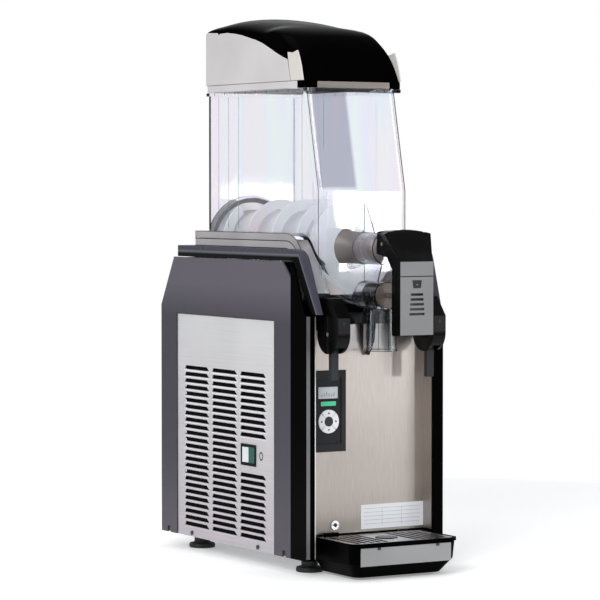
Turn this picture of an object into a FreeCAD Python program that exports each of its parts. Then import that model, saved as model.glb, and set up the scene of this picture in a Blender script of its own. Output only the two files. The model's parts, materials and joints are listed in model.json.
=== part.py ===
import FreeCAD, Part
import Sketcher
import math
import os
import re

# Slushie machine with one clear bowl.  Millimetres; +X right, the front faces -Y, +Z up.
# The origin is on the floor, under the middle of the machine's outer box.

doc = FreeCAD.newDocument("slushie_machine")
Vec = FreeCAD.Vector

# ---------------------------------------------------------------- driving dimensions
SIZES = {
    # cabinet
    "body_width": 250, "body_back": 295, "body_low": 24, "pillar_front": 177, "pillar_back": 130,
    "pillar_width": 17, "panel_front": 148, "side_top": 482, "slope_low": 402, "slope_back": 250,
    "skin": 3, "steel": 1.2, "frame_half": 119, "frame_height": 20, "front_panel_low": 60,
    "front_panel_top": 398, "return_depth": 24, "side_chamfer": 26,
    # louvred side panels
    "louver_front": 79, "louver_back": 241, "louver_top": 389.5, "louver_recess": 1.5,
    "slot_front": 52, "slot_length": 82.6, "slot_gap": 9.8, "slot_height": 6.6, "slot_pitch": 10.7,
    "slot_top": 304.5, "slot_rows": 25, "slot_rows_short": 10, "slot_slant": 4,
    # feet
    "foot_x": 83, "foot_front": 117, "foot_back": 231, "foot_radius": 21.5, "neck_radius": 13,
    "foot_rim": 7,
    # deck, trough, gasket and bowl flange
    "deck_top": 501, "deck_band": 18, "deck_back": 246.5, "deck_bend": 130, "deck_bend_radius": 30,
    "deck_slope": 66, "deck_tip": 402, "deck_nose_half": 112, "opening_half": 90,
    "flange_top": 525, "flange_half": 108, "flange_nose_half": 104, "flange_back": 221,
    "flange_bend": 87, "flange_bend_radius": 50, "flange_slope": 58, "flange_tip": 431,
    "flange_band": 11.5, "trough_radius": 85.5,
    # bowl
    "axis_height": 502, "bowl_half": 82, "bowl_wall": 3, "bowl_front": 145, "bowl_back": 207,
    "bowl_top": 750, "knee_height": 590, "bowl_top_front": 110, "bowl_corner": 16, "port_radius": 76.5,
    "rim_half": 86, "rim_height": 5, "cup_radius": 25, "cup_wall": 2.2, "cup_front": 207,
    "tap_height": 430, "tap_radius": 21, "tap_bore": 18.05, "tap_front": 207, "spout_radius": 26.3,
    "spout_y": 191, "spout_low": 344, "spout_top": 410, "spout_wall": 2.5, "lug_width": 12, "web_half": 1.2,
    # drum and drive
    "drum_radius": 57, "drum_front": 96, "drum_wall": 1.5, "auger_inner": 58.5, "auger_radius": 74.5,
    "auger_pitch": 78, "blade_thickness": 4, "auger_back": 182, "shaft_radius": 8,
    # lid
    "lid_half": 90.5, "lid_front": 111, "lid_back": 204, "lid_low": 750.3, "lid_ridge": 870,
    "lid_wall": 2.5, "lid_band": 11, "lid_step": 8,
    # handle
    "handle_half": 29.7, "handle_front": 295, "plate_thickness": 2, "handle_low": 372, "hood_top": 532,
    "hood_crown": 148, "hood_lean": 27, "hood_flare": 13, "hood_foot": 484,
    "pivot_y": 240, "pivot_z": 510, "pin_radius": 3,
    # latch ears
    "ear_in": 75.5, "ear_out": 98, "ear_front": 225, "ear_top": 427, "ear_low": 342,
    "latch_y": 195, "latch_z": 372, "beam_top": 403, "beam_low": 385,
    # control unit
    "unit_x": 69.4, "unit_half": 31, "unit_low": 188, "unit_top": 314, "wheel_z": 235,
    "wheel_radius": 18.2, "hub_radius": 7.4, "key_gap": 0.35,
    # rocker switch
    "switch_y": 3, "switch_z": 173.3, "switch_half": 23.5, "switch_high": 17,
    # drip tray
    "tray_half": 97, "tray_front": 268, "tray_back": 149.5, "tray_top": 58, "tray_low": 4,
    "tray_corner": 16, "tray_wall": 2.5, "strip_half": 81.4, "strip_low": 23.2, "strip_top": 50.7,
    "grid_thickness": 1.5, "grid_slot": 8, "grid_pitch": 12.5, "float_radius": 17,
    # rating plate and front plug
    "plate_left": 8.5, "plate_right": 106.5, "plate_low": 64, "plate_top": 102, "plug_x": 56.6,
    "plug_z": 73.6, "plug_radius": 7,
    # cooling unit
    "compressor_y": 200, "compressor_radius": 72, "fan_y": 20, "fan_z": 160, "fan_radius": 78,
}

sheet = doc.addObject("Spreadsheet::Sheet", "Dims")
for row, (alias, value) in enumerate(SIZES.items(), start=1):
    sheet.set(f"A{row}", alias)
    sheet.set(f"B{row}", str(value))
    sheet.setAlias(f"B{row}", alias)
doc.recompute()


def size(alias):
    """The value that the spreadsheet holds under an alias."""
    return float(getattr(sheet, alias))


def with_cells(text):
    """An expression's text with each alias turned into a reference to its cell."""
    return re.sub(r"[a-z][a-z_]+", lambda word: f"Dims.{word.group()}" if word.group() in SIZES
                  else word.group(), str(text))


def bind(thing, **sizes):
    """Bind properties of an object to expressions of the cells; __ in a name stands for a dot."""
    for name, text in sizes.items():
        thing.setExpression(name.replace("__", "."), with_cells(text))
    return thing


NODES = {}


def node(name, thing):
    """Register an object of the document as one finished sub-part."""
    thing.Label = name
    NODES[name] = thing
    return thing


# ---------------------------------------------------------------- Part primitives and booleans
TURN = {
    "+Z": FreeCAD.Rotation(),
    "+Y": FreeCAD.Rotation(Vec(1, 0, 0), -90),
    "-Y": FreeCAD.Rotation(Vec(1, 0, 0), 90),
    "+X": FreeCAD.Rotation(Vec(0, 1, 0), 90),
}


def place(thing, corner, axis="+Z", spin=0):
    turn = TURN[axis].multiply(FreeCAD.Rotation(Vec(0, 0, 1), spin))
    thing.Placement = FreeCAD.Placement(Vec(0, 0, 0), turn)
    return bind(thing, Placement__Base__x=corner[0], Placement__Base__y=corner[1],
                Placement__Base__z=corner[2])


def box(name, low, high):
    """A box between two corners, each three expressions."""
    thing = doc.addObject("Part::Box", name)
    spans = [f"({top}) - ({bottom})" for bottom, top in zip(low, high)]
    bind(thing, Length=spans[0], Width=spans[1], Height=spans[2])
    return place(thing, low)


def rod(name, radius, length, start, axis, angle=360, spin=0):
    """A cylinder, or a sector of one, that runs from a point along an axis."""
    thing = doc.addObject("Part::Cylinder", name)
    bind(thing, Radius=radius, Height=length)
    thing.Angle = angle
    return place(thing, start, axis, spin)


def cone(name, radius, far_radius, length, start, axis):
    thing = doc.addObject("Part::Cone", name)
    bind(thing, Radius1=radius, Radius2=far_radius, Height=length)
    return place(thing, start, axis)


def fuse(name, *parts):
    thing = doc.addObject("Part::MultiFuse", name)
    thing.Shapes = list(parts)
    return thing


def group(name, *parts):
    """Separate solids that share one node."""
    thing = doc.addObject("Part::Compound", name)
    thing.Links = list(parts)
    return thing


def cut(name, base, *tools):
    """The base with every tool taken away."""
    thing = doc.addObject("Part::Cut", name)
    thing.Base = base
    thing.Tool = tools[0] if len(tools) == 1 else fuse(f"{name}_tools", *tools)
    return thing


# ---------------------------------------------------------------- PartDesign helpers
def new_body(name):
    return node(name, doc.addObject("PartDesign::Body", f"{name}_body"))


def sketch(body, role, name, loops, offset="0"):
    """A sketch on an origin plane; each loop is a list of corners, each corner two expressions."""
    flat = body.newObject("Sketcher::SketchObject", name)
    plane = next(item for item in body.Origin.OriginFeatures if item.Role == role)
    flat.AttachmentSupport = [(plane, "")]
    flat.MapMode = "FlatFace"
    bind(flat, AttachmentOffset__Base__z=offset)
    for loop in loops:
        first = flat.GeometryCount
        count = len(loop)
        for index in range(count):
            turn = 2 * math.pi / count
            start = Vec(math.cos(turn * index), math.sin(turn * index), 0)
            end = Vec(math.cos(turn * (index + 1)), math.sin(turn * (index + 1)), 0)
            flat.addGeometry(Part.LineSegment(start, end), False)
        for index in range(count):
            after = first + (index + 1) % count
            flat.addConstraint(Sketcher.Constraint("Coincident", first + index, 2, after, 1))
        for index, corner in enumerate(loop):
            for kind, text in zip(("DistanceX", "DistanceY"), corner):
                rule = flat.addConstraint(Sketcher.Constraint(kind, -1, 1, first + index, 1, 1.0))
                flat.setExpression(f"Constraints[{rule}]", with_cells(text))
    return flat


def rectangle(left, low, right, high):
    return [(left, low), (right, low), (right, high), (left, high)]


def pad(body, flat, length, middle=False, backward=False):
    feature = body.newObject("PartDesign::Pad", f"{flat.Name}_pad")
    feature.Profile = flat
    feature.SideType = "Symmetric" if middle else "One side"
    feature.Reversed = backward
    bind(feature, Length=length)
    return feature


def pocket(body, flat):
    """Cut a sketch's outline right through, both ways."""
    doc.recompute()
    before = body.Tip.Shape.Volume
    feature = body.newObject("PartDesign::Pocket", f"{flat.Name}_pocket")
    feature.Profile = flat
    feature.SideType = "Symmetric"
    feature.Type = "ThroughAll"
    doc.recompute()
    if not feature.Shape.Volume < before - 0.01:
        raise RuntimeError(f"{flat.Name} cuts nothing")
    return feature


def pattern(body, feature, flat, axis, length, count, backward=False):
    """Repeat a feature along an axis of its sketch."""
    row = body.newObject("PartDesign::LinearPattern", f"{feature.Name}_row")
    row.Originals = [feature]
    row.Direction = (flat, [axis])
    row.Reversed = backward
    bind(row, Length=length, Occurrences=count)
    body.Tip = row
    return row


# ---------------------------------------------------------------- Part shapes from the sheet
def feature(name, shape):
    """A sub-part whose form no primitive gives: its shape is worked out from the sheet."""
    thing = doc.addObject("Part::Feature", f"{name}_shape")
    thing.Shape = shape
    thing.Placement = shape.Placement
    return node(name, thing)


def face_of(points, across):
    """A flat face from corners; across is the axis that it faces: 'x' takes (y, z) corners."""
    lift = {"x": lambda a, b: Vec(0, a, b), "y": lambda a, b: Vec(a, 0, b), "z": lambda a, b: Vec(a, b, 0)}
    corners = [lift[across](a, b) for a, b in points]
    return Part.Face(Part.makePolygon(corners + corners[:1]))


def slab(points, across, low, high):
    """A prism of a polygon between two places along an axis."""
    step = {"x": Vec(1, 0, 0), "y": Vec(0, 1, 0), "z": Vec(0, 0, 1)}[across]
    face = face_of(points, across)
    face.translate(step * low)
    return face.extrude(step * (high - low))


def block(low, high):
    return Part.makeBox(high[0] - low[0], high[1] - low[1], high[2] - low[2], Vec(*low))


def tube_solid(radius, length, start, direction):
    return Part.makeCylinder(radius, length, Vec(*start), Vec(*direction))


def bent_edge(top, bend, radius, slope, tip, back):
    """A side-view line: level from the back, round a bend, then down a slope to the tip's height."""
    angle = math.radians(slope)
    middle = Vec(0, -bend, top - radius)
    arc_end = Vec(0, -bend - radius * math.sin(angle), top - radius + radius * math.cos(angle))
    half = angle / 2
    arc_mid = Vec(0, -bend - radius * math.sin(half), middle.z + radius * math.cos(half))
    reach = (arc_end.z - tip) / math.tan(angle)
    ends = [Vec(0, back, top), Vec(0, -bend, top), arc_mid, arc_end, Vec(0, arc_end.y - reach, tip)]
    edges = [Part.makeLine(ends[0], ends[1]), Part.Arc(ends[1], ends[2], ends[3]).toShape(),
             Part.makeLine(ends[3], ends[4])]
    return edges, ends[0], ends[4]


def bent_band(top, bend, radius, slope, tip, back, upper, lower, half):
    """A band of even thickness that follows a bent edge, between two depths below it."""
    over, over_back, over_tip = bent_edge(top - upper, bend, radius - upper, slope, tip, back)
    under, under_back, under_tip = bent_edge(top - lower, bend, radius - lower, slope, tip, back)
    edges = over + under + [Part.makeLine(over_back, under_back), Part.makeLine(over_tip, under_tip)]
    face = Part.Face(Part.Wire(Part.__sortEdges__(edges)))
    face.translate(Vec(-half, 0, 0))
    return face.extrude(Vec(2 * half, 0, 0))


def plan_prism(half, nose_half, bend, nose, back, corner, low, high):
    """The outline seen from above: straight sides that draw in towards the front."""
    points = [(-half, back - corner), (-half + corner, back), (half - corner, back), (half, back - corner),
              (half, -bend), (nose_half, -nose), (-nose_half, -nose), (-half, -bend)]
    return slab(points, "z", low, high)


def u_solid(half, front, back, top, centre):
    """A bowl's round-bottomed block, with its bottom centred on a height."""
    block_part = block((-half, -front, centre), (half, back, top))
    round_part = tube_solid(half, front + back, (0, -front, centre), (0, 1, 0))
    return block_part.fuse(round_part).removeSplitter()


# ---------------------------------------------------------------- cabinet
def base_frame():
    outer = box("frame_outer", ("-frame_half", "2 - panel_front", "body_low"),
                ("frame_half", "body_back - 4", "body_low + frame_height"))
    inner = box("frame_inner", ("steel - frame_half", "2 + steel - panel_front", "body_low + steel"),
                ("frame_half - steel", "body_back - 4 - steel", "body_low + frame_height + 1"))
    node("base_frame", cut("base_frame_cut", outer, inner))


def feet():
    """Four rubber feet, turned from one outline."""
    corners = {"front_left": ("-foot_x", "-foot_front"), "front_right": ("foot_x", "-foot_front"),
               "back_left": ("-foot_x", "foot_back"), "back_right": ("foot_x", "foot_back")}
    turned_feet = []
    for name, (across, along) in corners.items():
        foot = doc.addObject("PartDesign::Body", f"foot_{name}")
        half = [("0", "0"), ("foot_radius", "0"), ("foot_radius", "2.5"), ("neck_radius + 3", "foot_rim"),
                ("neck_radius", "foot_rim + 4"), ("neck_radius", "body_low"), ("0", "body_low")]
        outline = sketch(foot, "XZ_Plane", f"foot_outline_{name}", [half])
        turned = foot.newObject("PartDesign::Revolution", f"foot_turned_{name}")
        turned.Profile = outline
        turned.ReferenceAxis = (outline, ["V_Axis"])
        turned.Angle = 360
        bind(foot, Placement__Base__x=across, Placement__Base__y=along)
        turned_feet.append(foot)
    node("feet", group("feet_group", *turned_feet))


def side_moulding(side, offset):
    """A plastic side frame that the louvred panel sits in, open at the bottom."""
    moulding = new_body(f"side_moulding_{side}")
    outline = [("-pillar_back", "body_low"), ("body_back", "body_low"), ("body_back", "slope_low"),
               ("slope_back", "side_top"), ("side_chamfer - pillar_back", "side_top"),
               ("-pillar_back", "side_top - side_chamfer")]
    pad(moulding, sketch(moulding, "YZ_Plane", f"moulding_{side}", [outline], offset), "skin")
    opening = rectangle("-louver_front", "body_low - 5", "louver_back", "louver_top")
    pocket(moulding, sketch(moulding, "YZ_Plane", f"opening_{side}", [opening], offset))
    for place_name, along in (("back", "269"), ("front", "-110")):
        notch = rectangle(f"{along} - 5", "body_low - 5", f"{along} + 5", "body_low + 10")
        pocket(moulding, sketch(moulding, "YZ_Plane", f"notch_{place_name}_{side}", [notch], offset))


def front_pillar(side, sign):
    """A folded black pillar at a front corner, its top cut to clear the deck's sloping rim."""
    pillar = new_body(f"front_pillar_{side}")
    outer, inner = "body_width / 2", "(body_width / 2 - pillar_width)"
    plan = [(outer, "-pillar_back"), (outer, "-pillar_front"), (inner, "-pillar_front"),
            (inner, "-panel_front"), (f"{inner} + skin", "-panel_front"),
            (f"{inner} + skin", "skin - pillar_front"), (f"{outer} - skin", "skin - pillar_front"),
            (f"{outer} - skin", "-pillar_back")]
    plan = [(f"{sign} * ({across})", along) for across, along in plan]
    flat = sketch(pillar, "XY_Plane", f"pillar_{side}", [plan], "body_low")
    pad(pillar, flat, "side_top - body_low - 3")
    slope = [("-pillar_back + 2", "side_top - 2"), ("-pillar_back - 11", "side_top - 11"),
             ("5 - pillar_front", "deck_tip - 1"), ("-pillar_front - 5", "deck_tip - 1"),
             ("-pillar_front - 5", "deck_top"), ("-pillar_back + 2", "deck_top")]
    pocket(pillar, sketch(pillar, "YZ_Plane", f"pillar_slope_{side}", [slope]))


def louver_panel(side, offset):
    """A steel side panel with three columns of slots; the front column leaves room for the switch."""
    panel = new_body(f"louver_panel_{side}")
    outline = rectangle("0.3 - louver_front", "body_low", "louver_back - 0.3", "louver_top - 0.3")
    pad(panel, sketch(panel, "YZ_Plane", f"louver_{side}", [outline], offset), "steel")

    def slot(column, top):
        front = f"({column} * (slot_length + slot_gap) - slot_front)"
        return [(f"{front} + slot_slant", top), (f"{front} + slot_length", top),
                (f"{front} + slot_length", f"{top} - slot_height"), (front, f"{top} - slot_height")]

    def rows(name, columns, top, count):
        flat = sketch(panel, "YZ_Plane", f"{name}_{side}", [slot(column, top) for column in columns])
        pattern(panel, pocket(panel, flat), flat, "V_Axis", f"slot_pitch * ({count} - 1)", count, True)

    rows("slots_long", (1, 2), "slot_top", "slot_rows")
    rows("slots_upper", (0,), "slot_top", "slot_rows_short")
    low_top = "(slot_top - slot_pitch * (slot_rows - slot_rows_short))"
    rows("slots_lower", (0,), low_top, "slot_rows_short")
    if side == "left":
        hole = rectangle("switch_y - switch_half + 2", "switch_z - switch_high + 2",
                         "switch_y + switch_half - 2", "switch_z + switch_high - 2")
        pocket(panel, sketch(panel, "YZ_Plane", "switch_hole", [hole]))


def back_panel():
    """A bent steel sheet that closes the back and its slope, with rows of air slots."""
    panel = new_body("back_panel")
    near, far = "body_back - 3", "body_back - 3 + steel"
    outline = [(near, "body_low + 1"), (far, "body_low + 1"), (far, "slope_low"),
               ("slope_back - 2 + steel", "side_top - 1"), ("slope_back - 2", "side_top - 1"),
               (near, "slope_low - 1")]
    flat = sketch(panel, "YZ_Plane", "back_outline", [outline])
    pad(panel, flat, "body_width - 2 * skin - 0.6", middle=True)
    slots = [rectangle(f"{left}", "120", f"{left} + 44", "124") for left in (-84, -22, 40)]
    vents = sketch(panel, "XZ_Plane", "back_slots", slots)
    pattern(panel, pocket(panel, vents), vents, "V_Axis", "16 * 13", "17")


def front_panel():
    """The steel front, folded forward along both sides to line the pillars."""
    panel = new_body("front_panel")
    half = "(body_width / 2 - pillar_width - 0.3)"
    outline = rectangle(f"-{half}", "front_panel_low", half, "front_panel_top")
    pad(panel, sketch(panel, "XZ_Plane", "front_outline", [outline], "panel_front - steel"), "steel")
    returns = [rectangle(low, "-panel_front - return_depth", high, "steel - panel_front")
               for low, high in ((f"-{half}", f"steel - {half}"), (f"{half} - steel", half))]
    pad(panel, sketch(panel, "XY_Plane", "front_return_left", [returns[0]], "front_panel_low"),
        "front_panel_top - front_panel_low")
    pad(panel, sketch(panel, "XY_Plane", "front_return_right", [returns[1]], "front_panel_low"),
        "front_panel_top - front_panel_low")
    hole = rectangle("-unit_x - unit_half + 6", "unit_low + 6", "-unit_x + unit_half - 6", "unit_top - 6")
    pocket(panel, sketch(panel, "XZ_Plane", "unit_hole", [hole]))


def deck_line(upper, lower, half):
    return bent_band(size("deck_top"), size("deck_bend"), size("deck_bend_radius"), size("deck_slope"),
                     size("deck_tip"), size("deck_back"), upper, lower, half)


def flange_line(upper, lower, half):
    return bent_band(size("flange_top"), size("flange_bend"), size("flange_bend_radius"),
                     size("flange_slope"), size("flange_tip"), size("flange_back"), upper, lower, half)


def flange_plan(gap):
    """The outline of the bowl's flange from above, grown by a gap."""
    return plan_prism(size("flange_half") + gap, size("flange_nose_half") + gap, size("flange_bend"),
                      size("pillar_front") + 20, size("flange_back"), 14, size("deck_tip") - 5,
                      size("flange_top") + 5)


def top_deck():
    """The plastic deck: a rim that bends down at the front, hollow below, open where the bowl sits."""
    half, wall = size("body_width") / 2, size("skin")
    top, tip, back = size("deck_top"), size("deck_tip"), size("deck_back")
    nose = size("pillar_front") + 17
    plan = plan_prism(half, size("deck_nose_half"), size("deck_bend"), nose, back, 10, tip - 5, top + 5)
    deck = deck_line(0, size("deck_band"), half).common(plan)
    opening = size("opening_half")
    hollow = deck_line(wall, size("deck_band") + 8, half - wall)
    hollow = hollow.cut(block((-opening - wall, -nose, tip - 9), (opening + wall, 223 + wall, top)))
    hollow = hollow.common(block((-half, wall - 85, tip), (half, back - wall, top)))
    deck = deck.cut(hollow)
    deck = deck.cut(block((-opening, -nose - 5, tip - 9), (opening, 223, top + 5)))
    slot = flange_plan(0.6).common(block((-half, -nose - 9, tip - 9), (half, -85, top + 5)))
    feature("top_deck", deck.cut(slot))


def condensate_trough():
    """A half-round tray under the bowl, cut back at the front for the sloping flange."""
    radius, wall, centre = size("trough_radius"), size("skin"), size("axis_height")
    front = size("bowl_front") - size("bowl_wall") - 2.5
    shell = tube_solid(radius + wall, 208 + front, (0, -front, centre), (0, 1, 0))
    shell = shell.cut(tube_solid(radius, 210 + front, (0, -front - 1, centre), (0, 1, 0)))
    shell = shell.common(block((-100, -front, centre - 100), (100, 210, centre - 22)))
    feature("condensate_trough", shell.cut(flange_line(-5, 24.6, 110)))


def bulkhead():
    """The round-topped plate behind the bowl that carries the drum."""
    centre, radius = size("axis_height"), size("bowl_half") - 1
    plate = tube_solid(radius, 7, (0, 209, centre), (0, 1, 0))
    plate = plate.fuse(block((-radius, 209, centre - 60), (radius, 216, centre)))
    feature("bulkhead", plate.removeSplitter())


def panel_screws():
    """Button-head screws in the steel panels and in the mouldings' notches."""
    heads = []
    for sign, axis in (("-", "+X"), ("", "+X")):
        for along, high, near in (("191", "30", 123.5), ("-26", "30", 123.5), ("269", "29", 121.9),
                                  ("-110", "29", 121.9)):
            start = f"-{near} - 1.4" if sign else f"{near}"
            heads.append(rod(f"screw_{len(heads)}", "3.6", "1.4", (start, along, high), axis))
    node("panel_screws", group("panel_screws_group", *heads))


# ---------------------------------------------------------------- bowl
def bowl_block(inset, top):
    """The bowl's outer form, or its inside when inset by the wall."""
    half, front = size("bowl_half") - inset, size("bowl_front") - inset
    knee, lean = size("knee_height"), size("bowl_top_front") - inset
    solid = u_solid(half, front, size("bowl_back") - inset, top, size("axis_height"))
    rise = size("bowl_top") - knee
    shift = (front - lean) * (top - knee) / rise
    wedge = slab([(-front - 5, knee), (-front, knee), (-front + shift, top), (-front - 5, top)],
                 "x", -half - 5, half + 5)
    solid = solid.cut(wedge)
    front_edges = []
    for edge in solid.Edges:
        box_of = edge.BoundBox
        at_front = box_of.YMin < -lean + 0.5 and box_of.YMax < -lean + shift - (front - lean) + 1.5
        along_front = abs(box_of.XMin) > half - 0.5 and abs(box_of.XMax) > half - 0.5
        flat = box_of.ZMax - box_of.ZMin < 1
        if at_front and not flat and (along_front or box_of.XMax - box_of.XMin > half):
            front_edges.append(edge)
    return solid.makeFillet(size("bowl_corner") - inset, front_edges)


def front_fittings():
    """The nose cup, tap housing, spout, webs and handle lug moulded on the bowl's front."""
    front, axis, tap = size("bowl_front"), size("axis_height"), size("tap_height")
    cup = tube_solid(size("cup_radius"), size("cup_front") - front + 1, (0, 1 - front, axis), (0, -1, 0))
    tap_root = size("bowl_wall") + 2 - front
    tap_tube = tube_solid(size("tap_radius"), size("tap_front") + tap_root, (0, tap_root, tap), (0, -1, 0))
    low, top = size("spout_low"), size("spout_top")
    spout = tube_solid(size("spout_radius"), top - low, (0, -size("spout_y"), low), (0, 0, 1))
    web_top = axis + size("cup_radius")
    thin = size("web_half")
    upper_web = slab([(1 - front, web_top - 3), (1 - front, 572), (-front - 6, 568),
                      (-front - 30, web_top - 3)], "x", -thin, thin)
    lower_web = slab([(1 - front, tap + 15), (1 - front, axis - 20), (-front - 52, axis - 20),
                      (-front - 36, tap + 15)], "x", -thin, thin)
    half_lug = size("lug_width") / 2
    pivot_y, pivot_z = size("pivot_y"), size("pivot_z")
    lug = block((-half_lug, -pivot_y, pivot_z - 7), (half_lug, 1 - size("cup_front"), pivot_z + 7))
    lug = lug.fuse(tube_solid(7, 2 * half_lug, (-half_lug, -pivot_y, pivot_z), (1, 0, 0)))
    return [cup, tap_tube, spout, upper_web, lower_web, lug]


def front_bores():
    """What is bored out of the fittings, and through the bowl's front wall."""
    front, axis, tap = size("bowl_front"), size("axis_height"), size("tap_height")
    cup_bore = size("cup_radius") - size("cup_wall")
    nose = tube_solid(cup_bore, size("cup_front") - size("cup_wall") - front + 6, (0, 6 - front, axis),
                      (0, -1, 0))
    bore_root = size("bowl_wall") - front
    tap_bore = tube_solid(size("tap_bore"), size("tap_front") + bore_root + 2, (0, bore_root, tap),
                          (0, -1, 0))
    wall, low, top = size("spout_wall"), size("spout_low"), size("spout_top")
    spout_y = size("spout_y")
    spout = tube_solid(size("spout_radius") - wall, top - wall - low + 1, (0, -spout_y, low - 1), (0, 0, 1))
    outlet = tube_solid(11, 30, (0, -spout_y + 4, top - wall - 5), (0, 0, 1))
    pin = tube_solid(size("pin_radius") + 0.06, 40, (-20, -size("pivot_y"), size("pivot_z")), (1, 0, 0))
    return [nose, tap_bore, spout, outlet, pin]


def bowl():
    """The clear bowl, one moulding with its flange, top rim, cup, tap housing and spout."""
    wall, top = size("bowl_wall"), size("bowl_top")
    outer = bowl_block(0, top)
    inner = bowl_block(wall, top + 10)
    flange = flange_line(0, size("flange_band"), size("flange_half")).common(flange_plan(0))
    front = size("bowl_front")
    flange = flange.cut(block((-80, -front - 60, 400), (80, -front, 540)))
    flange = flange.cut(block((-83, size("bowl_back"), 400), (83, 240, 540)))
    rim_half, rim_back = size("rim_half"), size("bowl_back") + 2
    rim = block((-rim_half, -size("bowl_top_front") - 3.5, top - size("rim_height")),
                (rim_half, rim_back, top))
    shape = outer.fuse([flange, rim] + front_fittings())
    shape = shape.cut(inner)
    port = tube_solid(size("port_radius"), 20, (0, size("bowl_back") - 10, size("axis_height")), (0, 1, 0))
    for tool in [port] + front_bores():
        shape = shape.cut(tool)
    feature("bowl", shape.removeSplitter())


def bowl_gasket():
    """The soft strip between the bowl's flange and the deck, which follows the same bend."""
    upper, lower = size("flange_band") + 0.5, 23.8
    strip = flange_line(upper, lower, size("flange_half")).common(flange_plan(0))
    front = size("bowl_front")
    inside = u_solid(size("bowl_half") + 0.4, front + 60, 216.6, 560, size("axis_height"))
    strip = strip.cut(inside)
    feature("bowl_gasket", strip.cut(block((-83, 200, 400), (83, 216.6, 540))))


def bowl_seal():
    outer = rod("seal_outer", "bowl_half - 1", "1.7", ("0", "bowl_back + 0.15", "axis_height"), "+Y")
    inner = rod("seal_inner", "port_radius", "4", ("0", "bowl_back - 1", "axis_height"), "+Y")
    node("bowl_seal", cut("bowl_seal_cut", outer, inner))


# ---------------------------------------------------------------- drum and drive
def evaporator_drum():
    axis = "axis_height"
    shell = rod("drum_shell", "drum_radius", "drum_front + 209", ("0", "-drum_front", axis), "+Y")
    rear = rod("drum_rear", "drum_radius + 12", "2.5", ("0", "206.5", axis), "+Y")
    inside = rod("drum_inside", "drum_radius - drum_wall", "drum_front + 209",
                 ("0", "2 - drum_front", axis), "+Y")
    hole = rod("drum_hole", "shaft_radius + 0.08", "20", ("0", "-drum_front - 5", axis), "+Y")
    node("evaporator_drum", cut("drum_cut", fuse("drum_fuse", shell, rear), inside, hole))


def helix_tube(pitch, length, radius, section, start, turn):
    """A sweep of a section, drawn at the helix's start on +X, along a helix about +Z."""
    path = Part.makeHelix(pitch, length, radius)
    sweep = Part.Wire(path.Edges).makePipeShell([section], True, True)
    sweep.Placement = FreeCAD.Placement(Vec(*start), turn)
    return sweep


def evaporator_coil():
    radius = size("drum_radius") - size("drum_wall") - 3.4
    ring = Part.Wire(Part.makeCircle(3, Vec(radius, 0, 0), Vec(0, 1, 0)))
    coil = helix_tube(22, 264, radius, ring, (0, -80, size("axis_height")), TURN["+Y"])
    feature("evaporator_coil", coil)


def gearmotor():
    axis = "axis_height"
    case = rod("motor_case", "32", "120", ("0", "80", axis), "+Y")
    gears = rod("gear_case", "38", "38", ("0", "42", axis), "+Y")
    bore = rod("gear_bore", "shaft_radius", "30", ("0", "41", axis), "+Y")
    mount = box("motor_mount", ("-20", "199", "axis_height - 20"), ("20", "208.8", "axis_height + 20"))
    node("gearmotor", cut("gearmotor_cut", fuse("gearmotor_fuse", case, gears, mount), bore))


def drive_shaft():
    shaft = rod("shaft_round", "shaft_radius", "182", ("0", "-112", "axis_height"), "+Y")
    node("drive_shaft", fuse("shaft_fuse", shaft,
                             cone("shaft_tip", "shaft_radius - 2", "shaft_radius", "4",
                                  ("0", "-116", "axis_height"), "+Y")))


def shaft_seal():
    ring = rod("seal_ring", "17", "3.6", ("0", "-drum_front - 4", "axis_height"), "+Y")
    hole = rod("seal_hole", "shaft_radius + 0.08", "9", ("0", "-drum_front - 6", "axis_height"), "+Y")
    node("shaft_seal", cut("shaft_seal_cut", ring, hole))


def auger():
    """The scraper spiral round the drum, joined to a disc in front of it."""
    inner, outer, axis = size("auger_inner"), size("auger_radius"), size("axis_height")
    half = size("blade_thickness") / 2
    corners = [Vec(inner, 0, -half), Vec(outer, 0, -half), Vec(outer, 0, half), Vec(inner, 0, half)]
    section = Part.makePolygon(corners + corners[:1])
    front = size("drum_front") + 8
    length = size("auger_back") + front
    spiral = helix_tube(size("auger_pitch"), length, inner, section, (0, -front, axis), TURN["+Y"])
    disc = tube_solid(outer, 5, (0, -front - 4, axis), (0, 1, 0))
    disc = disc.cut(tube_solid(size("shaft_radius"), 20, (0, -front - 10, axis), (0, 1, 0)))
    feature("auger", spiral.fuse(disc))


def auger_nose():
    """The conical front knob that turns in the bowl's cup."""
    disc_front = -(size("drum_front") + 12)
    shaft = size("shaft_radius")
    outline = [(0, disc_front - 8), (shaft - 2, disc_front - 8), (shaft, disc_front - 4),
               (shaft, disc_front), (34, disc_front),
               (12, -130), (12, -150), (21, -172), (21.6, -196), (17, -203), (0, -203.5)]
    corners = [Vec(radius, along, 0) for radius, along in outline]
    face = Part.Face(Part.makePolygon(corners + corners[:1]))
    nose = face.revolve(Vec(0, 0, 0), Vec(0, 1, 0), 360)
    nose.translate(Vec(0, 0, size("axis_height")))
    feature("auger_nose", nose)


# ---------------------------------------------------------------- tap and handle
RING_PLACES = (-200, -193, -186, -179, -172)


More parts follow.
